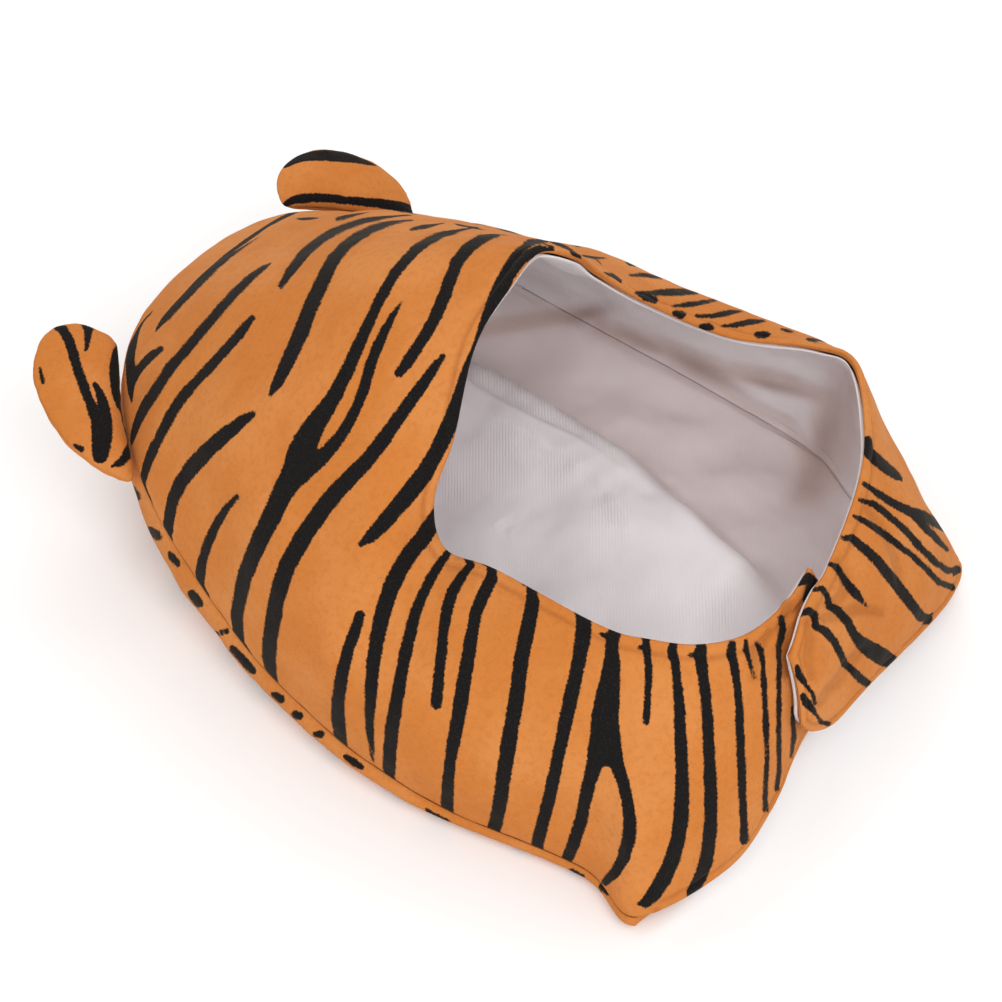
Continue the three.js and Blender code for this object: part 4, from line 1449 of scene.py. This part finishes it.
# Swells a closed stuffed shape by cloth pressure, with its sewn points held
def stuffed(name, points, faces, held):
    look = earLook
    form = addObject(name, points, faces)
    remesh = form.modifiers.new("evenMesh", "REMESH")
    remesh.mode = "VOXEL"
    remesh.voxel_size = look["voxel"] / 1000
    form.data = finishedMesh(form)
    form.modifiers.clear()
    before = vertexRows(form.data, "co") * 1000
    pins = form.vertex_groups.new(name="sewn")
    pins.add(np.flatnonzero(held(before)).tolist(), 1.0, "REPLACE")
    cloths = form.modifiers.new("stuffing", "CLOTH")
    cloths.settings.use_pressure = True
    cloths.settings.uniform_pressure_force = look["pressure"]
    cloths.settings.vertex_group_mass = "sewn"
    cloths.settings.effector_weights.gravity = 0
    cloths.point_cache.frame_start = 1
    cloths.point_cache.frame_end = look["frames"]
    for step in range(1, look["frames"] + 1):
        bpy.context.scene.frame_set(step)
    move = vertexRows(finishedMesh(form), "co") * 1000 - before
    form.modifiers.clear()
    bpy.context.scene.frame_set(1)
    length = np.linalg.norm(move, axis=1, keepdims=True)
    after = before + move * np.minimum(1, look["mostMove"] / np.maximum(length, 1e-6))
    form.data.vertices.foreach_set("co", (after / 1000).ravel())
    form.data.update()
    finer = form.modifiers.new("finer", "SUBSURF")
    finer.levels = look["finer"]
    finer.render_levels = look["finer"]
    made = finishedMesh(form)
    bpy.data.objects.remove(form)
    return made


def makeEar(name, ear, finish):
    look = earLook
    turns, ring = np.meshgrid(np.arange(look["turns"]) / look["turns"],
                              np.linspace(0, 1, look["rings"] + 1)[1:])
    small = {**ear, "thickness": ear["thickness"] * look["shrunk"]}
    top, normal = earPoints(small, turns, ring, 1)
    low, _ = earPoints(small, turns[:-1][::-1], ring[:-1][::-1], -1)
    above, beneath = (earPoints(small, np.zeros(1), np.zeros(1), side)[0][0] for side in (1, -1))
    points, faces = dish(above, top, low, beneath)
    border, _ = earPoints(ear, np.linspace(0, 1, look["borderPoints"]), np.ones(look["borderPoints"]), 1)
    foot, _ = earPoints(ear, np.linspace(*look["foot"], look["footPoints"]), np.ones(look["footPoints"]), 1)
    mesh = stuffed(name + "Form", points, turnedOut(points, faces),
                   lambda spots: distanceTo([(foot, np.zeros(len(foot)))], spots) < look["sewnWithin"])
    body, normals, faces = vertexRows(mesh, "co") * 1000, vertexRows(mesh, "normal"), meshFaces(mesh)
    # A groove round the ear's seam, sunk and given painted shade
    grooveAndShade = np.exp(-(distanceTo([(border, np.zeros(len(border)))], body) / look["grooveWide"]) ** 2)
    body = body - normals * (look["grooveDeep"] * grooveAndShade)[:, None]
    relief = sum(deep * unevenness(body, size, seed) for deep, size, seed in look["relief"])
    body += normals * relief[:, None]
    tree = BVHTree.FromPolygons((body / 1000).tolist(), faces)
    strokes = landedStrokes(ear["stripes"], tree, body)
    behind = []
    for middle, radius in strokes:
        away = (middle - above) @ normal + ear["thickness"] / 2
        behind.append((nearestOn(tree, middle - 2 * away[:, None] * normal), radius))
    unseen = unseenStretches(behind, [hiddenPoints(tree, middle) for middle, _ in behind])
    piece = makePiece(name, body, faces, finish, ear["node"],
                      {"stripe": distanceTo(strokes + unseen, body), "grooveAndShade": grooveAndShade})
    return piece


# Finishes. A noise is given by its scale, its detail and its roughness, a step by where it starts and ends,
# and a bump by its strength and its height in metres.
# The crease tone is painted shade, for creases, stitch grooves and the plush beside seams
plushTones = {
    "orange": (0.545, 0.180, 0.037, 1),
    "pale": (0.60, 0.224, 0.060, 1),
    "deep": (0.455, 0.136, 0.024, 1),
    "creaseAndShade": (0.26, 0.078, 0.018, 1),
    "black": (0.008, 0.007, 0.007, 1),
    "blackPale": (0.020, 0.017, 0.016, 1),
    "sheen": (0.95, 0.75, 0.55, 1),
}
plushLook = {
    "broad": (28, 3, 0.55),
    "broadStep": (0.35, 0.68),
    "tuft": (420, 3, 0.6),
    "tuftStep": (0.42, 0.75),
    "tuftShare": 0.4,
    "tuftHeight": 0.5,
    "pile": (1500, 2, 0.6),
    "pileStep": (0.5, 0.8),
    "pileShare": 0.5,
    "blackStep": (0.45, 0.8),
    "paintedShadeShare": 0.3,
    "fray": (900, 2, 0.7),     # the stripes' ragged edge, with how far it reaches in millimetres
    "frayWide": 1.5,
    "waver": (160, 2),
    "waverWide": 0.9,
    "stripeStep": (-0.12, 0.55, 1, 0),
    "bump": (0.55, 0.0006),
    "roughness": 0.92,
    "sheen": 0.07,
    "sheenRoughness": 0.4,
    "gloss": 0.08,
}


def plushFinish():
    finish, look, tones = Finish("stripedPlush"), plushLook, plushTones
    broad, tuft, pile = (finish.noise(*look[layer]) for layer in ("broad", "tuft", "pile"))
    base = finish.blend(finish.step(broad, *look["broadStep"]), tones["orange"], tones["pale"])
    base = finish.blend(finish.step(tuft, *look["tuftStep"]) * look["tuftShare"], base, tones["deep"])
    base = finish.blend(finish.step(pile, *look["pileStep"]) * look["pileShare"], base, tones["pale"])
    # Painted shade in grooves, creases and beside seams
    base = finish.blend(finish.attribute("grooveAndShade") * look["paintedShadeShare"], base, tones["creaseAndShade"])
    fray = (finish.noise(*look["fray"]) - 0.5) * look["frayWide"]
    waver = (finish.noise(*look["waver"]) - 0.5) * look["waverWide"]
    ragged = finish.attribute("stripe") + fray + waver
    black = finish.blend(finish.step(pile, *look["blackStep"]), tones["black"], tones["blackPale"])
    base = finish.blend(finish.step(ragged, *look["stripeStep"]), base, black)
    bump = finish.bump(tuft * look["tuftHeight"] + pile, *look["bump"])
    finish.set(Base_Color=base, Roughness=look["roughness"], Normal=bump, Sheen_Weight=look["sheen"],
               Sheen_Roughness=look["sheenRoughness"], Sheen_Tint=tones["sheen"],
               Specular_IOR_Level=look["gloss"])
    return finish.material


# The warm tone is painted shade, tinted as by light bounced off the orange plush, and the hollow tone is
# painted deep shade
knitTones = {
    "pale": (0.86, 0.815, 0.825, 1),
    "shade": (0.76, 0.695, 0.705, 1),
    "deep": (0.60, 0.53, 0.545, 1),
    "warmShade": (0.72, 0.58, 0.54, 1),
    "hollow": (0.40, 0.285, 0.25, 1),
}
knitLook = {
    "turned": 52.9,            # degrees by which the ribs turn about the part's height
    "ribs": {"Scale": 255.0, "Distortion": 1.5, "Detail": 2.0, "Detail Scale": 1.0},
    "ribShare": 0.5,
    "ribHeight": 0.8,
    "ribLeast": 0.12,
    "broad": (22, 3, 0.5),
    "broadStep": (0.35, 0.7),
    "broadShare": 0.5,
    "loops": (1800, 2, 0.6),
    "loopsStep": (0.45, 0.8),
    "loopsShare": 0.25,
    "loopsHeight": 0.35,
    "bump": (0.4, 0.0005),
    "roughness": 0.62,
    "sheen": 0.15,
    "sheenRoughness": 0.5,
    "gloss": 0.35,
}


def liningFinish():
    finish, look, tones = Finish("smoothLining"), knitLook, knitTones
    turned = {"Vector": finish.place(), "Rotation": (0, 0, math.radians(look["turned"]))}
    waves = {"Vector": finish.node("Mapping", {}, turned), **look["ribs"]}
    ribs = finish.node("TexWave", {"wave_type": "BANDS", "bands_direction": "X"}, waves, output="Fac")
    ribShare = finish.attribute("rib")
    broad, loops = finish.noise(*look["broad"]), finish.noise(*look["loops"])
    base = finish.blend(finish.step(broad, *look["broadStep"]) * look["broadShare"], tones["pale"],
                        tones["shade"])
    # Painted shade: warm where the lining lies in shade, and deep in its hollows
    base = finish.blend(finish.attribute("warmShade"), base, tones["warmShade"])
    base = finish.blend(finish.attribute("hollow"), base, tones["hollow"])
    base = finish.blend(ribs * ribShare * look["ribShare"], base, tones["deep"])
    base = finish.blend(finish.step(loops, *look["loopsStep"]) * look["loopsShare"], base, tones["shade"])
    raised = ribs * (ribShare * look["ribHeight"] + look["ribLeast"])
    bump = finish.bump(loops * look["loopsHeight"] + raised, *look["bump"])
    finish.set(Base_Color=base, Roughness=look["roughness"], Normal=bump, Sheen_Weight=look["sheen"],
               Sheen_Roughness=look["sheenRoughness"], Specular_IOR_Level=look["gloss"])
    return finish.material


tapeLook = {
    "hooks": (0.05, 0.042, 0.037, 1),
    "tape": (0.014, 0.011, 0.010, 1),
    "scale": 1100.0,
    "step": (0.1, 0.6),
    "bump": (0.7, 0.0006),
    "roughness": 0.8,
}


def fastenerFinish():
    finish, look = Finish("hookTape"), tapeLook
    sockets = {"Vector": finish.place(), "Scale": look["scale"]}
    hooks = finish.node("TexVoronoi", {"feature": "F1"}, sockets, output="Distance")
    base = finish.blend(finish.step(hooks, *look["step"]), look["hooks"], look["tape"])
    finish.set(Base_Color=base, Roughness=look["roughness"], Normal=finish.bump(1 - hooks, *look["bump"]))
    return finish.material


plush = plushFinish()
lining = liningFinish()
frontPanel(plush)
backPanel(plush)
frontLining(lining)
backLining(lining)
chinFastener(fastenerFinish())
for earName, earFacts in ears.items():
    makeEar(earName, earFacts, plush)
print("pieces made")

half = studio["floorSize"] * 1000 / 2
floor = addObject("floor", np.array([(-half, -half, 0), (half, -half, 0), (half, half, 0), (-half, half, 0)]),
                  [(0, 1, 2, 3)])
paper = Finish("palePaper")
paper.set(Base_Color=(*studio["floor"], 1), Roughness=studio["floorRoughness"])
floor.data.materials.append(paper.material)
